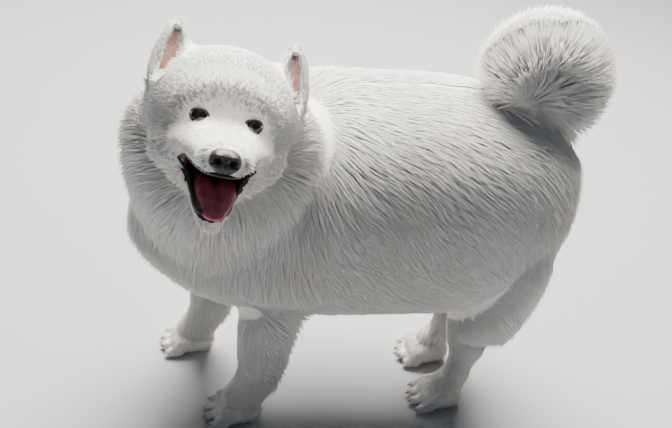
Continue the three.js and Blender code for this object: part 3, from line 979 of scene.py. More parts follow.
@dataclass(frozen=True)
class Lie:
    """The way each zone's hair would lie, before it is laid along the skin.

    A way is forward, away from the middle plane, and up; the tail's is its share of three ways.
    """

    chest_front: Span = (0.1, 0.75)
    trunk_apart: float = 0.2
    back_fall: float = 0.1
    flank_fall: float = 0.75
    chest_fall: float = 1.2
    rump: Place = (-0.55, 0.1, -1.0)
    ear: Place = (-0.25, 0.1, 1.0)
    leg: Place = (-0.25, 0.0, -1.0)
    paw: Place = (0.9, 0.0, -0.5)
    whorl: Place = (96.0, 0.0, -30.0)
    fan_middle: Span = (34.0, -40.0)
    tail: Place = (0.25, 0.35, 0.8)
    neck: Place = (205.0, 40.0, 470.0)
    neck_flat: Place = (1.0, 1.0, 0.2)
    neck_fall: Place = (-0.1, -0.45, -0.85)
    neck_apart: float = 0.35
    face_pull: float = 1.3
    head_middle: Place = (-60.0, 0.0, -10.0)
    face_round: Span = (105.0, 190.0)

    def outward(self, way: Place, sign: np.ndarray) -> np.ndarray:
        """A way for every place, turned away from the middle plane on both sides."""
        return np.stack((way[0] + 0 * sign, way[1] * sign, way[2] + 0 * sign), axis=1)

    def ways(self, place: np.ndarray, out: np.ndarray) -> dict:
        """The way each zone's hair would lie at every place.

        Args:
            place: (n, 3) places in the body's axes.
            out: the skin's outward way at each.

        Returns:
            An (n, 3) array for each zone.
        """
        x, y, z = place.T
        side = np.abs(out[:, 1])
        front = rise(out[:, 0], self.chest_front)
        apart = self.trunk_apart * np.sign(y) * (1 - side)
        down = -self.back_fall - self.flank_fall * side - self.chest_fall * front
        head = to_head(place)
        from_nose = unit(head - self.whorl) @ HEAD_TURN.T
        behind = x - TAIL_CURL["x"]
        above = z - TAIL_CURL["z"]
        curl = unit(np.stack((behind, 0 * x, above), axis=1))
        along = np.stack((curl[:, 2], 0 * x, -curl[:, 0]), axis=1)
        fan = unit(np.stack((behind - self.fan_middle[0], 0 * x, above - self.fan_middle[1]), axis=1))
        from_neck = unit((place - self.neck) * self.neck_flat)
        by_face = fall(distance(head, self.head_middle), self.face_round)[:, None]
        down_neck = np.array(self.neck_fall) + self.neck_apart * from_neck
        return {
            Zone.TRUNK: np.stack((front - 1.0, apart, down), axis=1),
            Zone.RUMP: self.outward(self.rump, np.sign(y)),
            Zone.RUFF: (1.0 - by_face) * down_neck + self.face_pull * by_face * from_nose,
            Zone.HEAD: from_nose,
            Zone.EAR: self.outward(self.ear, np.sign(head[:, 1])) @ HEAD_TURN.T,
            Zone.LEG: self.outward(self.leg, np.sign(y)),
            Zone.PAW: self.outward(self.paw, np.sign(y)),
            Zone.TAIL: self.tail[0] * along + self.tail[1] * curl + self.tail[2] * fan,
        }


@dataclass(frozen=True)
class Tuft:
    """A tuft's shape: a thin three-sided blade that bends over and tapers to a point.

    Its section is a low roof: left edge, right edge and a crown on the outer side. The spreads are
    how much a tuft strays in radians, and the spans how much its sizes vary about the zone's habit.
    """

    stray: float = 0.08
    roll: float = 0.13
    lengths: Span = (0.72, 1.18)
    widths: Span = (0.7, 1.25)
    lifts: Span = (0.88, 1.12)
    crowding: float = 0.8
    bend: float = 0.85
    swell_at: tuple = (0.0, 0.3, 0.6, 1.0)
    swell: tuple = (0.7, 1.0, 0.85, 0.35)
    roof: float = 0.6
    shade_out: float = 2.6
    shade_across: float = 0.15
    floor_gap: float = 0.4
    sunk: float = 1.5
    sunk_share: float = 0.05
    bake_patch: float = 0.003

    def faces(self, rings: int) -> np.ndarray:
        """Triangles of one tuft: three walls between rings, a point at the tip and a closed root.

        Args:
            rings: sections from root to just short of the tip.

        Returns:
            (n, 3) corner numbers.
        """
        walls = []
        for start in range(0, 3 * (rings - 1), 3):
            for here, after in ((0, 2), (2, 1), (1, 0)):
                a = start + here
                b = start + after
                walls.extend(((a, b, b + 3), (a, b + 3, a + 3)))
        last = 3 * (rings - 1)
        tip = 3 * rings
        walls.extend(((last, last + 2, tip), (last + 2, last + 1, tip), (last + 1, last, tip), (0, 1, 2)))
        return np.array(walls)

    def under_faces(self, rings: int) -> list[int]:
        """The numbers of the triangles on the side that faces the skin."""
        walls = [6 * ring + number for ring in range(rings - 1) for number in (4, 5)]
        return [*walls, 6 * (rings - 1) + 2, 6 * (rings - 1) + 3]


@dataclass(frozen=True)
class Coat:
    """The long coat: thin tufts over the skin, following its lie.

    The fields after the rings say where the hair of face, lips, crown and hind edges of the legs
    is longer, shorter, wider or higher than its zone's habit, and how far bare skin reaches.
    """

    zones: ZoneMap = ZoneMap()
    lie: Lie = Lie()
    tuft: Tuft = Tuft()
    seed: int = 7
    piece_limit: int = 190000
    rings: int = 2
    tail_rings: int = 3
    nose_middle: Place = (50.0, 0.0, -38.0)
    brow_high: Span = (-30.0, 40.0)
    fluff_back: Span = (70.0, 150.0)
    fluff_on_top: float = 0.25
    fluff_length: float = 2.2
    fluff_width: float = 0.5
    fluff_lift: float = 1.2
    short_face: float = 0.6
    short_round: Span = (44.0, 80.0)
    lip_length: float = 0.35
    lip_round: Span = (4.0, 24.0)
    rear_out: Span = (0.1, 0.7)
    rear_high: Span = (60.0, 110.0)
    rear_length: float = 0.9
    crown_middle: Place = (-60.0, 0.0, -10.0)
    crown_round: Span = (105.0, 180.0)
    crown_high: Span = (-20.0, 40.0)
    crown_length: float = 0.4
    crown_lift: float = 0.6
    eye_bare: Span = (15.5, 12.5)
    nose_bare: Place = (20.0, 19.0, 15.0)
    mouth_bare: float = 4.0
    between_bare: float = 1.5
    lip_bare: float = 3.0
    ear_bare: float = -6.0
    sole_high: float = 6.0
    sole_down: float = -0.4

    def growth(self, roots: Roots) -> Growth:
        """Blends the zones' habits at each root, and lays the lie along the skin.

        Args:
            roots: where the tufts grow.

        Returns:
            The growth of every tuft.
        """
        shares = self.zones.shares(roots.place)
        ways = self.lie.ways(roots.place, roots.out)
        lie = sum(unit(ways[zone]) * share[:, None] for zone, share in shares.items())
        lie = lie - roots.out * np.sum(lie * roots.out, axis=1, keepdims=True)

        def blend(word: str) -> np.ndarray:
            """One habit, blended by the zones' shares as a mean of logarithms."""
            least = {zone: getattr(HABITS[zone], word) + HABIT_FLOOR for zone in shares}
            return np.exp(sum(share * math.log(least[zone]) for zone, share in shares.items()))

        head = to_head(roots.place)
        on_face = shares[Zone.HEAD]
        back = distance(head, self.nose_middle)
        low = self.fluff_on_top + (1.0 - self.fluff_on_top) * fall(head[:, 2], self.brow_high)
        fluff = rise(back, self.fluff_back) * low * on_face
        short = self.short_face * on_face * fall(back, self.short_round)
        by_lips = self.lip_length + (1.0 - self.lip_length) * rise(near_lips(head), self.lip_round)
        rear = rise(-roots.out[:, 0], self.rear_out) * shares[Zone.LEG]
        rear = rear * rise(roots.place[:, 2], self.rear_high)
        crown = fall(distance(head, self.crown_middle), self.crown_round)
        crown = crown * rise(head[:, 2], self.crown_high)
        length = blend("length") * (1.0 + self.fluff_length * fluff - short) * by_lips
        length = length * (1.0 + self.rear_length * rear)
        length = length * (1.0 - self.crown_length * crown * (1.0 - on_face))
        width = blend("width") * (1.0 + self.fluff_width * fluff)
        lift = blend("lift") * (1.0 + self.fluff_lift * fluff) * (1.0 - self.crown_lift * crown)
        return Growth(unit(lie), length, width, lift, blend("droop"), blend("room"))

    def scatter(self, made: bpy.types.Mesh, rng: np.random.Generator) -> Roots:
        """Spreads roots over the skin, closer together where the hair is short.

        Args:
            made: the skin's mesh.
            rng: the seeded source of random numbers.

        Returns:
            The roots.
        """
        made.calc_loop_triangles()
        corners = read(made.vertices, "co", 3) / MM - BODY_SHIFT
        normals = read(made.vertices, "normal", 3)
        triangles = read(made.loop_triangles, "vertices", 3, int)
        loops = read(made.loop_triangles, "loops", 3, int)
        flat = read(made.uv_layers["OFBake"].data, "uv", 2)
        sides = corners[triangles]
        area = np.linalg.norm(np.cross(sides[:, 1] - sides[:, 0], sides[:, 2] - sides[:, 0]), axis=1) / 2
        middle = Roots(sides.mean(axis=1), unit(normals[triangles].mean(axis=1)), area)
        wanted = area / self.growth(middle).room
        total = int(wanted.sum())
        chosen = rng.choice(len(area), size=total, p=wanted / wanted.sum())
        across = np.sqrt(rng.random(total))
        along = rng.random(total)
        weights = np.stack((1 - across, across * (1 - along), across * along), axis=1)[:, :, None]
        return Roots(
            (sides[chosen] * weights).sum(axis=1),
            unit((normals[triangles[chosen]] * weights).sum(axis=1)),
            (flat[loops[chosen]] * weights).sum(axis=1),
        )

    def bare(self, roots: Roots) -> np.ndarray:
        """True where no hair grows: the eyes, the nose, the mouth, the ear cups and the soles.

        Args:
            roots: where the tufts would grow.

        Returns:
            One truth for each root.
        """
        head = to_head(roots.place)
        x, y, z = head.T
        beside = (np.abs(y) - EYE_PLACE[1]) / self.eye_bare[0]
        above = (z - EYE_PLACE[2]) / self.eye_bare[1]
        eye = (beside**2 + above**2 < 1.0) & (x > FACE_BACK)
        nose = np.linalg.norm((head - NOSE_PLACE) / self.nose_bare, axis=1) < 1.0
        lip = inside_form(MOUTH, head, self.mouth_bare) & (x > FACE_BACK)
        lip = lip | between_lips(head, self.between_bare) | (near_lips(head) < self.lip_bare)
        sole = (roots.place[:, 2] < self.sole_high) & (roots.out[:, 2] < self.sole_down)
        return eye | nose | lip | in_mouth(roots) | in_ear_cup(roots, self.ear_bare) | sole

    def build(self, skin: bpy.types.Object, dressing: bpy.types.Material) -> list:
        """Grows every tuft and shares them among pieces.

        Args:
            skin: the skin's object.
            dressing: the coat's material.

        Returns:
            The coat's objects.
        """
        rng = np.random.default_rng(self.seed)
        roots = self.scatter(skin.data, rng)
        roots = roots.picked(~self.bare(roots))
        growth = self.growth(roots)
        shares = self.zones.shares(roots.place)
        zone = np.argmax(np.stack(list(shares.values())), axis=0)
        made = []
        for number, name in enumerate(shares):
            inside = np.flatnonzero(zone == number)
            rings = self.tail_rings if name is Zone.TAIL else self.rings
            share = self.piece_limit // len(self.tuft.faces(rings))
            inside = inside[np.argsort(roots.place[inside, 0])]
            parts = np.array_split(inside, max(1, math.ceil(len(inside) / share)))
            for index, chosen in enumerate(parts, start=1):
                title = f"coat_{name.value}_{index}"
                piece = self.tufts(title, roots.picked(chosen), growth.picked(chosen), rings, rng)
                piece.data.materials.append(dressing)
                made.append(piece)
                LOG.info("%s: %d tufts", piece.name, len(chosen))
        return made

    def tufts(
        self, name: str, roots: Roots, growth: Growth, rings: int, rng: np.random.Generator
    ) -> bpy.types.Object:
        """One piece of coat.

        A tuft leaves the skin at its lift, which eases towards the lie, while it droops and
        wanders a little.

        Args:
            name: the piece's name.
            roots: where the tufts grow.
            growth: how they grow.
            rings: sections from root to just short of the tip.
            rng: the seeded source of random numbers.

        Returns:
            The piece's object.
        """
        tuft = self.tuft
        count = len(roots.place)
        out = roots.out
        stray = rng.normal(0.0, tuft.stray, (count, 1)) + self.clumps(roots.place)[:, None]
        lie = unit(growth.lie + np.cross(out, growth.lie) * stray)
        across = unit(np.cross(lie, out))
        roll = rng.normal(0.0, tuft.roll, (count, 1))
        across = across * np.cos(roll) + out * np.sin(roll)
        length = growth.length * rng.uniform(*tuft.lengths, count)
        width = growth.width * rng.uniform(*tuft.widths, count)
        lift = growth.lift * rng.uniform(*tuft.lifts, count)
        steps = np.linspace(0.0, 1.0, rings + 1)[:-1] ** tuft.crowding
        sunk = np.minimum(tuft.sunk, tuft.sunk_share * growth.length)[:, None]
        places = [roots.place - out * sunk]
        ahead = []
        for step, following in zip(steps, (*steps[1:], 1.0)):
            middle = (step + following) / 2
            angle = (lift * (1.0 - tuft.bend * middle))[:, None]
            way = lie * np.cos(angle) + out * np.sin(angle)
            way = unit(way - UP * (growth.droop * middle * 2)[:, None])
            ahead.append(way)
            places.append(places[-1] + way * (length * (following - step))[:, None])
        swell = np.interp(steps, tuft.swell_at, tuft.swell)
        corners = np.empty((count, 3 * rings + 1, 3))
        normals = np.empty_like(corners)
        for ring in range(rings):
            half = (width * swell[ring] / 2)[:, None]
            top = unit(np.cross(across, ahead[ring]))
            soft = unit(out * tuft.shade_out + top)
            for number, (sideways, above) in enumerate(((-1, 0), (1, 0), (0, 1))):
                edge = across * half * sideways + top * half * tuft.roof * above
                corners[:, 3 * ring + number] = places[ring] + edge
                normals[:, 3 * ring + number] = soft + across * tuft.shade_across * sideways
        corners[:, -1] = places[-1]
        normals[:, -1] = normals[:, -2]
        shape = tuft.faces(rings)
        faces = (shape[None] + np.arange(count)[:, None, None] * (3 * rings + 1)).reshape(-1, 3)
        corners[:, :, 2] = np.maximum(corners[:, :, 2], tuft.floor_gap)
        piece = self.object_of(name, corners.reshape(-1, 3) + BODY_SHIFT, faces)
        shading = unit(normals.reshape(-1, 3))[faces]
        under = np.tile(np.isin(np.arange(len(shape)), tuft.under_faces(rings)), count)
        shading[under] *= -1.0
        piece.data.normals_split_custom_set(shading.reshape(-1, 3))
        share = np.append(np.repeat(steps, 3), 1.0)
        spread = np.append(np.tile((-1.0, 1.0, 0.0), rings), 0.0)
        patch = np.stack((spread, share * 2 - 1), axis=1) * tuft.bake_patch / 2
        flat = (roots.map_place[:, None] + patch[None]).reshape(-1, 2)[faces.ravel()]
        piece.data.uv_layers.new(name="OFBake").data.foreach_set("uv", flat.ravel())
        # The tip share also lets the material paint each tuft darker at its root, as painted shade deep in
        # the coat.
        spoken(piece, "tip", np.tile(share, count))
        spoken(piece, "tone", np.repeat(rng.random(count), 3 * rings + 1))
        return piece

    def clumps(self, place: np.ndarray) -> np.ndarray:
        """A slow wander of the lie over the skin: a sum of sine waves of a few finger widths."""
        return sum(CLUMP_SWAY * np.sin(place @ np.array(wave) * MM + start) for wave, start in CLUMP_WAVES)

    def object_of(self, name: str, corners: np.ndarray, faces: np.ndarray) -> bpy.types.Object:
        """A large triangle mesh put in as whole arrays.

        Args:
            name: the piece's name.
            corners: (n, 3) places in millimetres.
            faces: (n, 3) corner numbers.

        Returns:
            The new object, in the scene.
        """
        made = bpy.data.meshes.new(name)
        made.vertices.add(len(corners))
        made.vertices.foreach_set("co", (corners * MM).ravel())
        made.loops.add(faces.size)
        made.loops.foreach_set("vertex_index", faces.ravel())
        made.polygons.add(len(faces))
        made.polygons.foreach_set("loop_start", np.arange(len(faces)) * 3)
        made.update(calc_edges=True)
        return shown(name, made)


# The waves' ways, in radians a metre, and where each starts.
CLUMP_WAVES = (((31.0, 17.0, 23.0), 0.3), ((-13.0, 29.0, 37.0), 1.7), ((43.0, -21.0, 11.0), 4.1))
CLUMP_SWAY = 0.09
GLOW_TINT = (1.0, 0.95, 0.9)


def linear(hex_value: str) -> tuple[float, float, float, float]:
    """Turns an sRGB hex value into linear light, as a shader socket takes it."""
    parts = (int(hex_value[i : i + 2], 16) / 255 for i in (0, 2, 4))
    return (*(part / 12.92 if part <= 0.04045 else ((part + 0.055) / 1.055) ** 2.4 for part in parts), 1.0)


@dataclass(frozen=True)
class Recipe:
    """A material in the making: its shader, and the Object coordinates its patterns lie on."""

    made: bpy.types.Material
    shader: bpy.types.Node
    place: bpy.types.NodeSocket

    def add(self, kind: str, settings: dict, inputs: dict) -> bpy.types.Node:
        """Adds a node, with its settings and what goes into its sockets.

        Args:
            kind: the node's type.
            settings: the node's own properties.
            inputs: a value or another node's output for each socket.

        Returns:
            The new node.
        """
        node = self.made.node_tree.nodes.new(kind)
        for word, value in settings.items():
            setattr(node, word, value)
        for socket, value in inputs.items():
            if isinstance(value, bpy.types.NodeSocket):
                self.made.node_tree.links.new(value, node.inputs[socket])
            else:
                node.inputs[socket].default_value = value
        return node

    def said(self, word: str) -> bpy.types.NodeSocket:
        """A value that the mesh says of each of its corners."""
        return self.add("ShaderNodeAttribute", {"attribute_name": word}, {}).outputs["Fac"]

    def pattern(self, kind: str, size: float, more: dict) -> bpy.types.Node:
        """A pattern that repeats every size millimetres on Object coordinates."""
        return self.add(kind, {}, {"Vector": self.place, "Scale": 1.0 / (size * MM), **more})

    def noise(self, size: float, detail: float) -> bpy.types.NodeSocket:
        """A cloudy pattern whose clouds are size millimetres across, from 0 to 1."""
        return self.pattern("ShaderNodeTexNoise", size, {"Detail": detail}).outputs["Fac"]

    def mixed(self, share: bpy.types.NodeSocket, first: object, second: object) -> bpy.types.NodeSocket:
        """Two colours, each a hex value or a socket, mixed by a share."""
        ends = (linear(colour) if isinstance(colour, str) else colour for colour in (first, second))
        inputs = dict(zip((0, 6, 7), (share, *ends)))
        return self.add("ShaderNodeMix", {"data_type": "RGBA"}, inputs).outputs[2]

    def ranged(self, value: bpy.types.NodeSocket, span: Span, most: float = 1.0) -> bpy.types.NodeSocket:
        """A value that rises from 0 at the span's start to most at its end."""
        sizes = {"Value": value, "From Min": span[0], "From Max": span[1], "To Min": 0.0, "To Max": most}
        return self.add("ShaderNodeMapRange", {}, sizes).outputs["Result"]

    def link(self, socket: bpy.types.NodeSocket, word: str) -> None:
        """Leads a socket into one of the shader's inputs."""
        self.made.node_tree.links.new(socket, self.shader.inputs[word])

    def raised(self, height: bpy.types.NodeSocket, strength: float, depth: float) -> None:
        """Lets a pattern stand up from the surface by depth millimetres."""
        sizes = {"Strength": strength, "Distance": depth * MM, "Height": height}
        self.link(self.add("ShaderNodeBump", {}, sizes).outputs["Normal"], "Normal")


@dataclass(frozen=True)
class Finish:
    """What a surface is made of, as the eye sees it; depths are in millimetres."""

    name: str
    roughness: float
    specular: float = 0.5
    coat: float = 0.0
    coat_roughness: float = 0.1
    sheen: float = 0.0
    glow: float = 0.0
    glow_depth: float = 6.0
    bump: float = 0.2
    bump_depth: float = 0.3

    def start(self) -> Recipe:
        """A new material with its shader's plain numbers set.

        Returns:
            The recipe, to which patterns are added.
        """
        made = bpy.data.materials.new(self.name)
        made.use_nodes = True
        shader = made.node_tree.nodes["Principled BSDF"]
        numbers = {
            "Roughness": self.roughness,
            "Specular IOR Level": self.specular,
            "Coat Weight": self.coat,
            "Coat Roughness": self.coat_roughness,
            "Sheen Weight": self.sheen,
            "Subsurface Weight": self.glow,
            "Subsurface Radius": GLOW_TINT,
            "Subsurface Scale": self.glow_depth * MM,
        }
        for socket, value in numbers.items():
            shader.inputs[socket].default_value = value
        return Recipe(made, shader, made.node_tree.nodes.new("ShaderNodeTexCoord").outputs["Object"])


@dataclass(frozen=True)
class Hair(Finish):
    """White guard hair over cream undercoat: matt and soft, a little creamier and darker towards the root,
    where the darkening is painted shade deep in the coat.
    """

    # Guard hair goes from the root colour to the tips' along each tuft: the darker root is partly the
    # hair's own cream and partly painted shade deep in the coat. The undercoat, with no tip share, keeps
    # its root colour throughout.
    root: str = "E6E2DB"
    tips: str = "FCFBF9"
    cream: str = "F2EBDD"
    shade: str = "D4D3D2"
    root_shade_fade: Span = (0.0, 0.7)
    cloud: float = 110.0
    cloud_edge: Span = (0.45, 0.75)
    most_cream: float = 0.45
    most_shade: float = 0.16
    streak: float = 0.8
    undercoat: bool = False

    def material(self) -> bpy.types.Material:
        """The hair, paler towards its tip and darker at its root, with faint cream clouds and a different
        tone each tuft; the darker root is painted shade deep in the coat.

        Returns:
            The material.
        """
        recipe = self.start()
        # From root to tip: the darker root is painted shade deep in the coat, with some of the hair's own
        # cream.
        colour = recipe.mixed(recipe.ranged(recipe.said("tip"), self.root_shade_fade), self.root, self.tips)
        cloud = recipe.ranged(recipe.noise(self.cloud, 2.0), self.cloud_edge, self.most_cream)
        colour = recipe.mixed(cloud, colour, self.cream)
        if not self.undercoat:
            tone = recipe.ranged(recipe.said("tone"), (0.0, 1.0), self.most_shade)
            colour = recipe.mixed(tone, colour, self.shade)
        recipe.link(colour, "Base Color")
        recipe.raised(recipe.noise(self.streak, 1.0), self.bump, self.bump_depth)
        return recipe.made


@dataclass(frozen=True)
class Hide(Finish):
    """Bare or thinly haired skin: two colours in clouds, finely grained and more or less wet."""

    base: str = "2A2526"
    second: str = "40373A"
    cloud: float = 9.0
    cloud_edge: Span = (0.35, 0.65)
    grain: float = 1.2

    def material(self) -> bpy.types.Material:
        """The clouds of colour, and a grain of rounded cells that stands up from the surface.

        Returns:
            The material.
        """
        recipe = self.start()
        cloud = recipe.ranged(recipe.noise(self.cloud, 3.0), self.cloud_edge)
        recipe.link(recipe.mixed(cloud, self.base, self.second), "Base Color")
        cells = recipe.pattern("ShaderNodeTexVoronoi", self.grain, {})
        recipe.raised(cells.outputs["Distance"], self.bump, self.bump_depth)
        return recipe.made


@dataclass(frozen=True)
class Iris(Finish):
    """An eyeball under a clear wet cornea: black pupil, dark brown iris, darker rim, dim brown beyond.

    Spans are angles from the middle of the eye, in radians.
    """

    pupil_edge: Span = (0.34, 0.39)
    rim_edge: Span = (0.66, 0.80)
    white_edge: Span = (0.85, 1.02)
    threads: float = 0.9
    pupil: str = "050405"
    dark: str = "0B0605"
    light: str = "1A0F0A"
    rim: str = "0C0807"
    white: str = "1C1614"

    def material(self) -> bpy.types.Material:
        """Rings of colour by the angle from the middle of the eye.

        Returns:
            The material.
        """
        recipe = self.start()
        angle = recipe.said("from_middle")
        colour = recipe.mixed(recipe.noise(self.threads, 4.0), self.dark, self.light)
        colour = recipe.mixed(recipe.ranged(angle, self.pupil_edge), self.pupil, colour)
        colour = recipe.mixed(recipe.ranged(angle, self.rim_edge), colour, self.rim)
        colour = recipe.mixed(recipe.ranged(angle, self.white_edge), colour, self.white)
        recipe.link(colour, "Base Color")
        return recipe.made


@dataclass(frozen=True)
class Paper(Finish):
    """Matt studio paper, with the faintest cloudiness."""

    base: str = "A4A5A7"
    second: str = "9A9B9D"
    cloud: float = 400.0
    cloud_edge: Span = (0.3, 0.7)
    most: float = 0.08

    def material(self) -> bpy.types.Material:
        """One pale colour, barely clouded.

        Returns:
            The material.
        """
        recipe = self.start()
        cloud = recipe.ranged(recipe.noise(self.cloud, 2.0), self.cloud_edge, self.most)
        recipe.link(recipe.mixed(cloud, self.base, self.second), "Base Color")
        return recipe.made


# Guard hair is matt and soft, and gives off a faint silky sheen where it turns away.
GUARD_HAIR = Hair(
    "guard_hair_white", roughness=0.7, specular=0.2, sheen=0.2, glow=0.7, glow_depth=10.0, bump=0.1
)
# Undercoat is dense, dull and a little creamier than the hair over it.
UNDERCOAT = Hair(
    "undercoat_cream", roughness=0.9, specular=0.15, bump=0.5, bump_depth=1.5, root="F2F0EC", undercoat=True
)
# The nose is bare black skin with a cobbled grain, moist enough for a soft shine.
NOSE_LEATHER = Hide(
    "nose_leather_moist", roughness=0.46, coat=0.18, coat_roughness=0.35, bump=0.6, bump_depth=0.4,
    base="1D1B1E", second="302D31", grain=1.3,
)
# Lips and lids are smooth black skin, wet at the edge.
DARK_RIM = Hide(
    "lip_and_lid_skin_moist", roughness=0.5, coat=0.15, bump=0.3, base="151213", second="242022", grain=0.8
)
# The tongue is wet and pink, rough with fine papillae.
TONGUE_FLESH = Hide(
    "tongue_flesh_wet", roughness=0.36, coat=0.4, coat_roughness=0.2, bump=0.7, bump_depth=0.35,
    base="A8445A", second="CB6B80", cloud=14.0, grain=0.9,
)
# The mouth's lining is wet and smooth, and painted dark: partly its own dark red skin, partly painted shade
# of the mouth's inside, where little light gets in, which also covers the skin between the lips.
MOUTH_LINING_AND_SHADE = Hide(
    "mouth_lining_wet_and_painted_shade", roughness=0.3, coat=0.3, bump=0.3, base="2B1418", second="4A222B", grain=2.5
)
# The ear's cup is thin pink skin under sparse down, so it looks soft and dull.
EAR_SKIN = Hide(
    "ear_skin_downy", roughness=0.75, specular=0.3, sheen=0.3, bump=0.3,
    base="98675F", second="B88E84", cloud=16.0, grain=1.6,
)
# Claws are worn horn: hard, dull, streaked grey-brown.
CLAW_HORN = Hide(
    "claw_horn_worn", roughness=0.45, bump=0.3, base="6A5E54", second="988A7B", cloud=4.0, grain=0.9
)
# The eye is glassy: the wet cornea gives it a small sharp highlight.
EYEBALL = Iris("eyeball_wet", roughness=0.2, coat=0.6, coat_roughness=0.03)
# The floor is matt, so it gives back light softly and shows no shine.
STUDIO_PAPER = Paper("studio_paper_matt", roughness=0.9, specular=0.2)


def finished(name: str, corners: np.ndarray, faces: list, finish: Finish) -> bpy.types.Object:
    """Makes a closed object with its faces turned outwards, and gives it its material.

    Args:
        name: the piece's name.
        corners: (n, 3) places in millimetres.
        faces: corner numbers of each face.
        finish: what the surface is made of.

    Returns:
        The new object, in the scene.
    """
    piece = new_object(name, corners, faces)
    mesh = bmesh.new()
    mesh.from_mesh(piece.data)
    bmesh.ops.recalc_face_normals(mesh, faces=mesh.faces)
    mesh.to_mesh(piece.data)
    mesh.free()
    piece.data.materials.append(finish.material())
    return piece


def spoken(piece: bpy.types.Object, word: str, values: np.ndarray) -> None:
    """Writes a value for every corner of a piece under a word that its material reads."""
    piece.data.attributes.new(word, "FLOAT", "POINT").data.foreach_set("value", values)


@dataclass(frozen=True)
class Dent:
    """A soft round dent in the nose's front, or a swelling where its depth is below zero."""

    side: float
    high: float
    wide: float
    tall: float
    depth: float

    def at(self, across: np.ndarray, above: np.ndarray) -> np.ndarray:
        """The depth times e to the minus squared distance from the middle, in the dent's own half sizes."""
        squares = ((across - self.side) / self.wide) ** 2 + ((above - self.high) / self.tall) ** 2
        return self.depth * np.exp(-squares)


# The nostril's round hole, the slit that leads out of it, and the wing above.
NOSTRIL = (Dent(8.4, 0.5, 4.0, 3.2, 7.5), Dent(12.9, -3.5, 4.5, 1.5, 3.2), Dent(9.4, 6.0, 6.0, 3.0, -1.6))


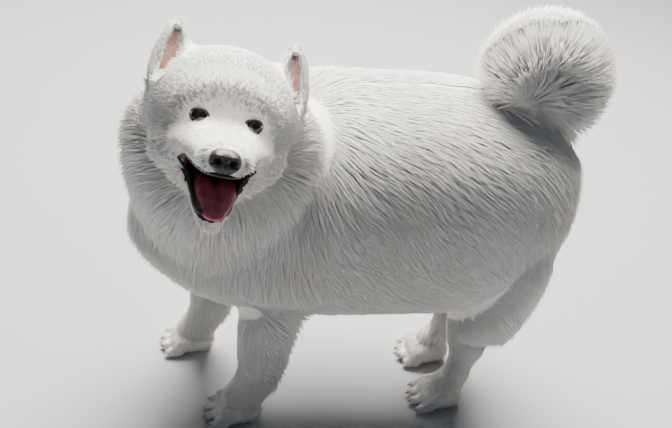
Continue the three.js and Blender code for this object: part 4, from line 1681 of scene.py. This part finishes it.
@dataclass(frozen=True)
class Face:
    """Everything bare on the head: eyes and their lids, nose, lips, tongue."""

    eye_radius: float = 12.2
    eye_grid: tuple[int, int] = (26, 36)
    cornea_height: float = 0.07
    cornea_spread: float = 0.5
    gaze: float = 7.0
    lid_grid: tuple[int, int] = (64, 10)
    lid_wide: float = 11.8
    lid_high: float = 8.6
    lid_flat: float = 0.18
    lid_roll: float = 1.5
    lid_slant: float = 13.0
    lid_rest: float = 0.5
    lid_least: float = 2.5
    corner_share: float = 0.55
    corner_shift: Span = (2.2, 2.4)
    corner_roll: float = 0.45
    upper_roll: float = 0.15
    nose_grid: tuple[int, int] = (60, 96)
    nose_half: Place = (13.0, 18.0, 14.0)
    nose_power: float = 0.8
    nose_narrow: float = 0.16
    nose_low: float = 2.0
    nose_front: float = 0.6
    groove_depth: float = 1.8
    groove_wide: float = 1.1
    groove_top: Span = (-3.0, 3.0)
    tongue_edge: float = 2.0
    tongue_groove: Span = (3.2, 3.0)
    tongue_curl: float = 2.2
    tongue_rim: Span = (10.0, 21.0)

    def eye(self, side: float) -> bpy.types.Object:
        """An eyeball: a sphere whose front swells into the cornea.

        The radius grows by cornea_height times e to the minus squared angle over cornea_spread.

        Args:
            side: which eye.

        Returns:
            The eye's object.
        """
        rings, around = self.eye_grid
        angle = np.linspace(0.0, math.pi, rings)[1:-1]
        turn = full_turn(around)
        swell = self.cornea_height * np.exp(-((angle / self.cornea_spread) ** 2))
        radius = self.eye_radius * (1.0 + swell)
        x = (radius * np.cos(angle))[:, None] + 0 * turn[None]
        y = (radius * np.sin(angle))[:, None] * np.cos(turn)
        z = (radius * np.sin(angle))[:, None] * np.sin(turn)
        front = self.eye_radius * (1.0 + self.cornea_height)
        poles = np.array(((front, 0.0, 0.0), (-self.eye_radius, 0.0, 0.0)))
        corners = np.vstack((np.stack((x, y, z), axis=-1).reshape(-1, 3), poles))
        spin = np.array(Matrix.Rotation(math.radians(self.gaze) * side, 3, "Z"))
        corners = from_head(corners @ spin.T + np.array(EYE_PLACE) * (1.0, side, 1.0)) + BODY_SHIFT
        piece = finished(f"eyeball_{SIDES[side]}", corners, closed_faces(len(angle), around), EYEBALL)
        spoken(piece, "from_middle", np.append(np.repeat(angle, around), (0.0, math.pi)))
        return piece

    def rim(self, side: float) -> tuple[np.ndarray, list]:
        """The dark rim of the lids: a closed tube round an almond that rests on the eyeball.

        Args:
            side: which eye.

        Returns:
            Corners and faces.
        """
        steps, around = self.lid_grid
        t = full_turn(steps)
        y = self.lid_wide * np.cos(t)
        z = self.lid_high * np.sin(t) * (1.0 - self.lid_flat * np.cos(t) * np.cos(t))
        inner = rise(-y, (self.lid_wide * self.corner_share, self.lid_wide))
        y = y - self.corner_shift[0] * inner
        z = z - self.corner_shift[1] * inner
        slant = math.radians(self.lid_slant)
        out = y * math.cos(slant) - z * math.sin(slant)
        high = y * math.sin(slant) + z * math.cos(slant)
        resting = self.eye_radius + self.lid_rest
        x = np.sqrt(np.maximum(resting**2 - out**2 - high**2, self.lid_least**2))
        path = np.stack((x, out * side, high), axis=1) + np.array(EYE_PLACE) * (1.0, side, 1.0)
        roll = self.lid_roll * (1.0 + self.corner_roll * inner + self.upper_roll * np.sin(t))
        return ring_tube(path, roll, around)

    def nose(self) -> bpy.types.Object:
        """The nose: a rounded block, flat in front, with comma nostrils and a groove down the middle.

        Returns:
            The nose's object.
        """
        rings, around = self.nose_grid
        angle = np.linspace(0.0, math.pi, rings)[1:-1, None]
        turn = full_turn(around)[None]

        def rounded(values: np.ndarray) -> np.ndarray:
            """A sine or cosine raised to the block's power, with its sign."""
            return np.sign(values) * np.abs(values) ** self.nose_power

        long, wide, high = self.nose_half
        spread = rounded(np.sin(angle))
        x = long * rounded(np.cos(angle)) + 0 * turn
        y = wide * spread * rounded(np.cos(turn))
        z = high * spread * rounded(np.sin(turn))
        y = y * (1.0 - self.nose_narrow * rise(-z, (self.nose_low, high)))
        front = rise(x, (0.0, long * self.nose_front))
        for side in SIDES:
            x = x - front * sum(dent.at(side * y, z) for dent in NOSTRIL)
        groove = np.exp(-((y / self.groove_wide) ** 2)) * rise(-z, self.groove_top)
        x = x - front * self.groove_depth * groove
        poles = np.array(((x[0].mean(), 0.0, 0.0), (-long, 0.0, 0.0)))
        corners = np.vstack((np.stack((x, y, z), axis=-1).reshape(-1, 3), poles)) + NOSE_PLACE
        faces = closed_faces(rings - 2, around)
        return finished("nose_leather", from_head(corners) + BODY_SHIFT, faces, NOSE_LEATHER)

    def tongue(self) -> bpy.types.Object:
        """The tongue: a soft flat body with a groove along its middle and a slightly curled rim.

        Returns:
            The tongue's object.
        """
        corners, faces = TONGUE.mesh()
        head = to_head(corners - BODY_SHIFT)
        line = np.array(TONGUE.stations, dtype=float)
        y, z = (np.interp(head[:, 0], line[:, 0], line[:, column]) for column in (1, 2))
        top = 0.5 + 0.5 * np.tanh((head[:, 2] - z) / self.tongue_edge)
        across = head[:, 1] - y
        wide, deep = self.tongue_groove
        groove = np.exp(-((across / wide) ** 2)) * deep
        curl = self.tongue_curl * rise(np.abs(across), self.tongue_rim)
        head[:, 2] += top * (curl - groove)
        return finished("tongue_flesh", from_head(head) + BODY_SHIFT, faces, TONGUE_FLESH)

    def lips(self) -> bpy.types.Object:
        """The bare black edges of the upper and lower lip.

        Returns:
            The lips' object.
        """
        lines = (both_sides(half) for half in (UPPER_LIP_HALF, LOWER_LIP_HALF))
        shapes = [Form(line, around=16, along=110, domes=(2, 2), on_head=True).mesh() for line in lines]
        return finished("lips", *joined(shapes), DARK_RIM)

    def build(self) -> None:
        """Makes each piece and lets it stand for its node."""
        for side, word in SIDES.items():
            eye = self.eye(side)
            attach(eye, "root")
            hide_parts(f"eye_{word}")
        lids = finished("lid_rims", *joined([self.rim(side) for side in SIDES]), DARK_RIM)
        nose = self.nose()
        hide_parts("nose")
        tongue = self.tongue()
        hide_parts("tongue")
        for piece in (lids, nose, tongue, self.lips()):
            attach(piece, "root")
            LOG.info("%s made", piece.name)


def ring_tube(path: np.ndarray, radius: np.ndarray, around: int) -> tuple[np.ndarray, list]:
    """A tube along a closed path on the head.

    At each point the section is a circle across the path's direction.

    Args:
        path: (n, 3) points in the head's axes.
        radius: the tube's radius at each point.
        around: corners in each section.

    Returns:
        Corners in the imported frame's millimetres, and faces.
    """
    ahead = unit(np.roll(path, -1, axis=0) - np.roll(path, 1, axis=0))
    side = unit(np.cross(ahead, ALONG_BODY))
    top = np.cross(side, ahead)
    turn = full_turn(around)
    circle = np.cos(turn)[None, :, None] * side[:, None] + np.sin(turn)[None, :, None] * top[:, None]
    corners = (path[:, None] + circle * radius[:, None, None]).reshape(-1, 3)
    ring = np.arange(len(path))[:, None] * around
    following = np.roll(ring, -1, axis=0)
    here = np.arange(around)[None]
    after = (here + 1) % around
    faces = np.stack((ring + here, ring + after, following + after, following + here), axis=-1)
    return from_head(corners) + BODY_SHIFT, faces.reshape(-1, 4).tolist()


@dataclass(frozen=True)
class Claws:
    """Sixteen short blunt claws, one at the end of each toe, in millimetres."""

    grid: tuple[int, int] = (7, 10)
    long: float = 6.5
    rise: float = 2.0
    bend: float = 5.0
    radius: float = 2.2
    taper: float = 0.72
    taper_power: float = 1.6
    flat: float = 0.8
    tip: Place = (0.6, 0.0, -0.4)
    behind_tip: float = 3.5
    high: float = 9.5

    def build(self) -> None:
        """Each claw is a cone that bends down as its length squared."""
        steps, around = self.grid
        t = np.linspace(0.0, 1.0, steps)
        turn = full_turn(around)
        centre = np.stack((self.long * t, 0 * t, self.rise * t - self.bend * t * t), axis=1)
        size = self.radius * (1.0 - self.taper * t**self.taper_power)
        ring = np.stack((0 * turn, np.cos(turn) * self.flat, np.sin(turn)), axis=1)
        shape = centre[:, None] + ring[None] * size[:, None, None]
        shape = np.vstack((shape.reshape(-1, 3), centre[0], centre[-1] + self.tip))
        spread = TOE["spread"] * TOE["splay"]
        roots = tuple(
            (reach - self.behind_tip, (number - TOE["middle"]) * spread, self.high)
            for number, reach in enumerate(TOE["reach"])
        )
        meshes = [
            (shape + root + BODY_SHIFT, closed_faces(steps, around))
            for side in SIDES
            for place in (FORELEG, HIND_LEG)
            for root in placed(roots, place, side)
        ]
        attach(finished("claws", *joined(meshes), CLAW_HORN), "root")


@dataclass(frozen=True)
class Lamp:
    """A square soft light: where it stands and points and its side in metres, its watts and sRGB colour."""

    name: str
    place: Place
    target: Place
    size: float
    power: float
    colour: str

    def build(self) -> None:
        """Puts the light in the scene."""
        data = bpy.data.lights.new(self.name, "AREA")
        data.size = self.size
        data.energy = self.power
        data.color = linear(self.colour)[:3]
        light = bpy.data.objects.new(self.name, data)
        light.location = self.place
        way = Vector(self.target) - Vector(self.place)
        light.rotation_euler = way.to_track_quat("-Z", "Y").to_euler()
        bpy.context.scene.collection.objects.link(light)


@dataclass(frozen=True)
class Studio:
    """The pale floor, the soft lights and the camera at the photograph's angle."""

    floor_half: float = 6000.0
    lamps: tuple[Lamp, ...] = (
        Lamp("top_light", (-0.2, -1.3, 2.9), (0, 0, 0.35), 2.0, 660, "FFF9F0"),
        Lamp("front_fill", (1.2, 2.4, 2.4), (0, 0, 0.4), 2.6, 7, "D2E2FF"),
    )
    sky: str = "D6E0F0"
    sky_strength: float = 0.12

    def camera(self) -> None:
        """Stands the camera where the photograph was taken from."""
        data = bpy.data.cameras.new("camera")
        data.sensor_width = SENSOR_WIDTH
        data.lens = FOCAL_PIXELS / IMAGE_WIDTH * SENSOR_WIDTH
        seen = bpy.data.objects.new("camera", data)
        forward = Vector(CAMERA_FORWARD).normalized()
        right = Vector(CAMERA_RIGHT).normalized()
        turn = Matrix((right, right.cross(forward), -forward)).transposed()
        seen.matrix_world = Matrix.Translation(CAMERA_PLACE) @ turn.to_4x4()
        bpy.context.scene.collection.objects.link(seen)
        bpy.context.scene.camera = seen

    def floor(self) -> None:
        """A wide pale floor."""
        half = self.floor_half
        corners = np.array(((-half, -half, 0), (half, -half, 0), (half, half, 0), (-half, half, 0)))
        piece = new_object("studio_floor", corners, [[0, 1, 2, 3]])
        piece.data.materials.append(STUDIO_PAPER.material())

    def build(self) -> None:
        """Sets the camera, the floor, the lights and the pale surroundings."""
        self.camera()
        self.floor()
        for lamp in self.lamps:
            lamp.build()
        world = bpy.data.worlds.new("soft_surroundings")
        world.use_nodes = True
        world.node_tree.nodes["Background"].inputs["Color"].default_value = linear(self.sky)
        world.node_tree.nodes["Background"].inputs["Strength"].default_value = self.sky_strength
        bpy.context.scene.world = world


FLESH = ["head", "lower_jaw", "neck", "chest", "barrel", "rump", "tail_root", "tail_middle", "tail_tip"]
SIDED_FLESH = ["thigh", "ear", "foreleg", "fore_paw", "hind_leg", "hind_paw"]


def main() -> None:
    """Builds every part in order."""
    logging.basicConfig(level=logging.INFO)
    Studio().build()
    skin = Skin().build()
    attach(skin, "root")
    nodes = FLESH + [f"{word}_{side}" for word in SIDED_FLESH for side in SIDES.values()]
    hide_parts(*nodes)
    LOG.info("skin: %d faces", len(skin.data.polygons))
    for piece in Coat().build(skin, GUARD_HAIR.material()):
        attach(piece, "root")
    Face().build()
    Claws().build()


if __name__ == "__main__":
    main()
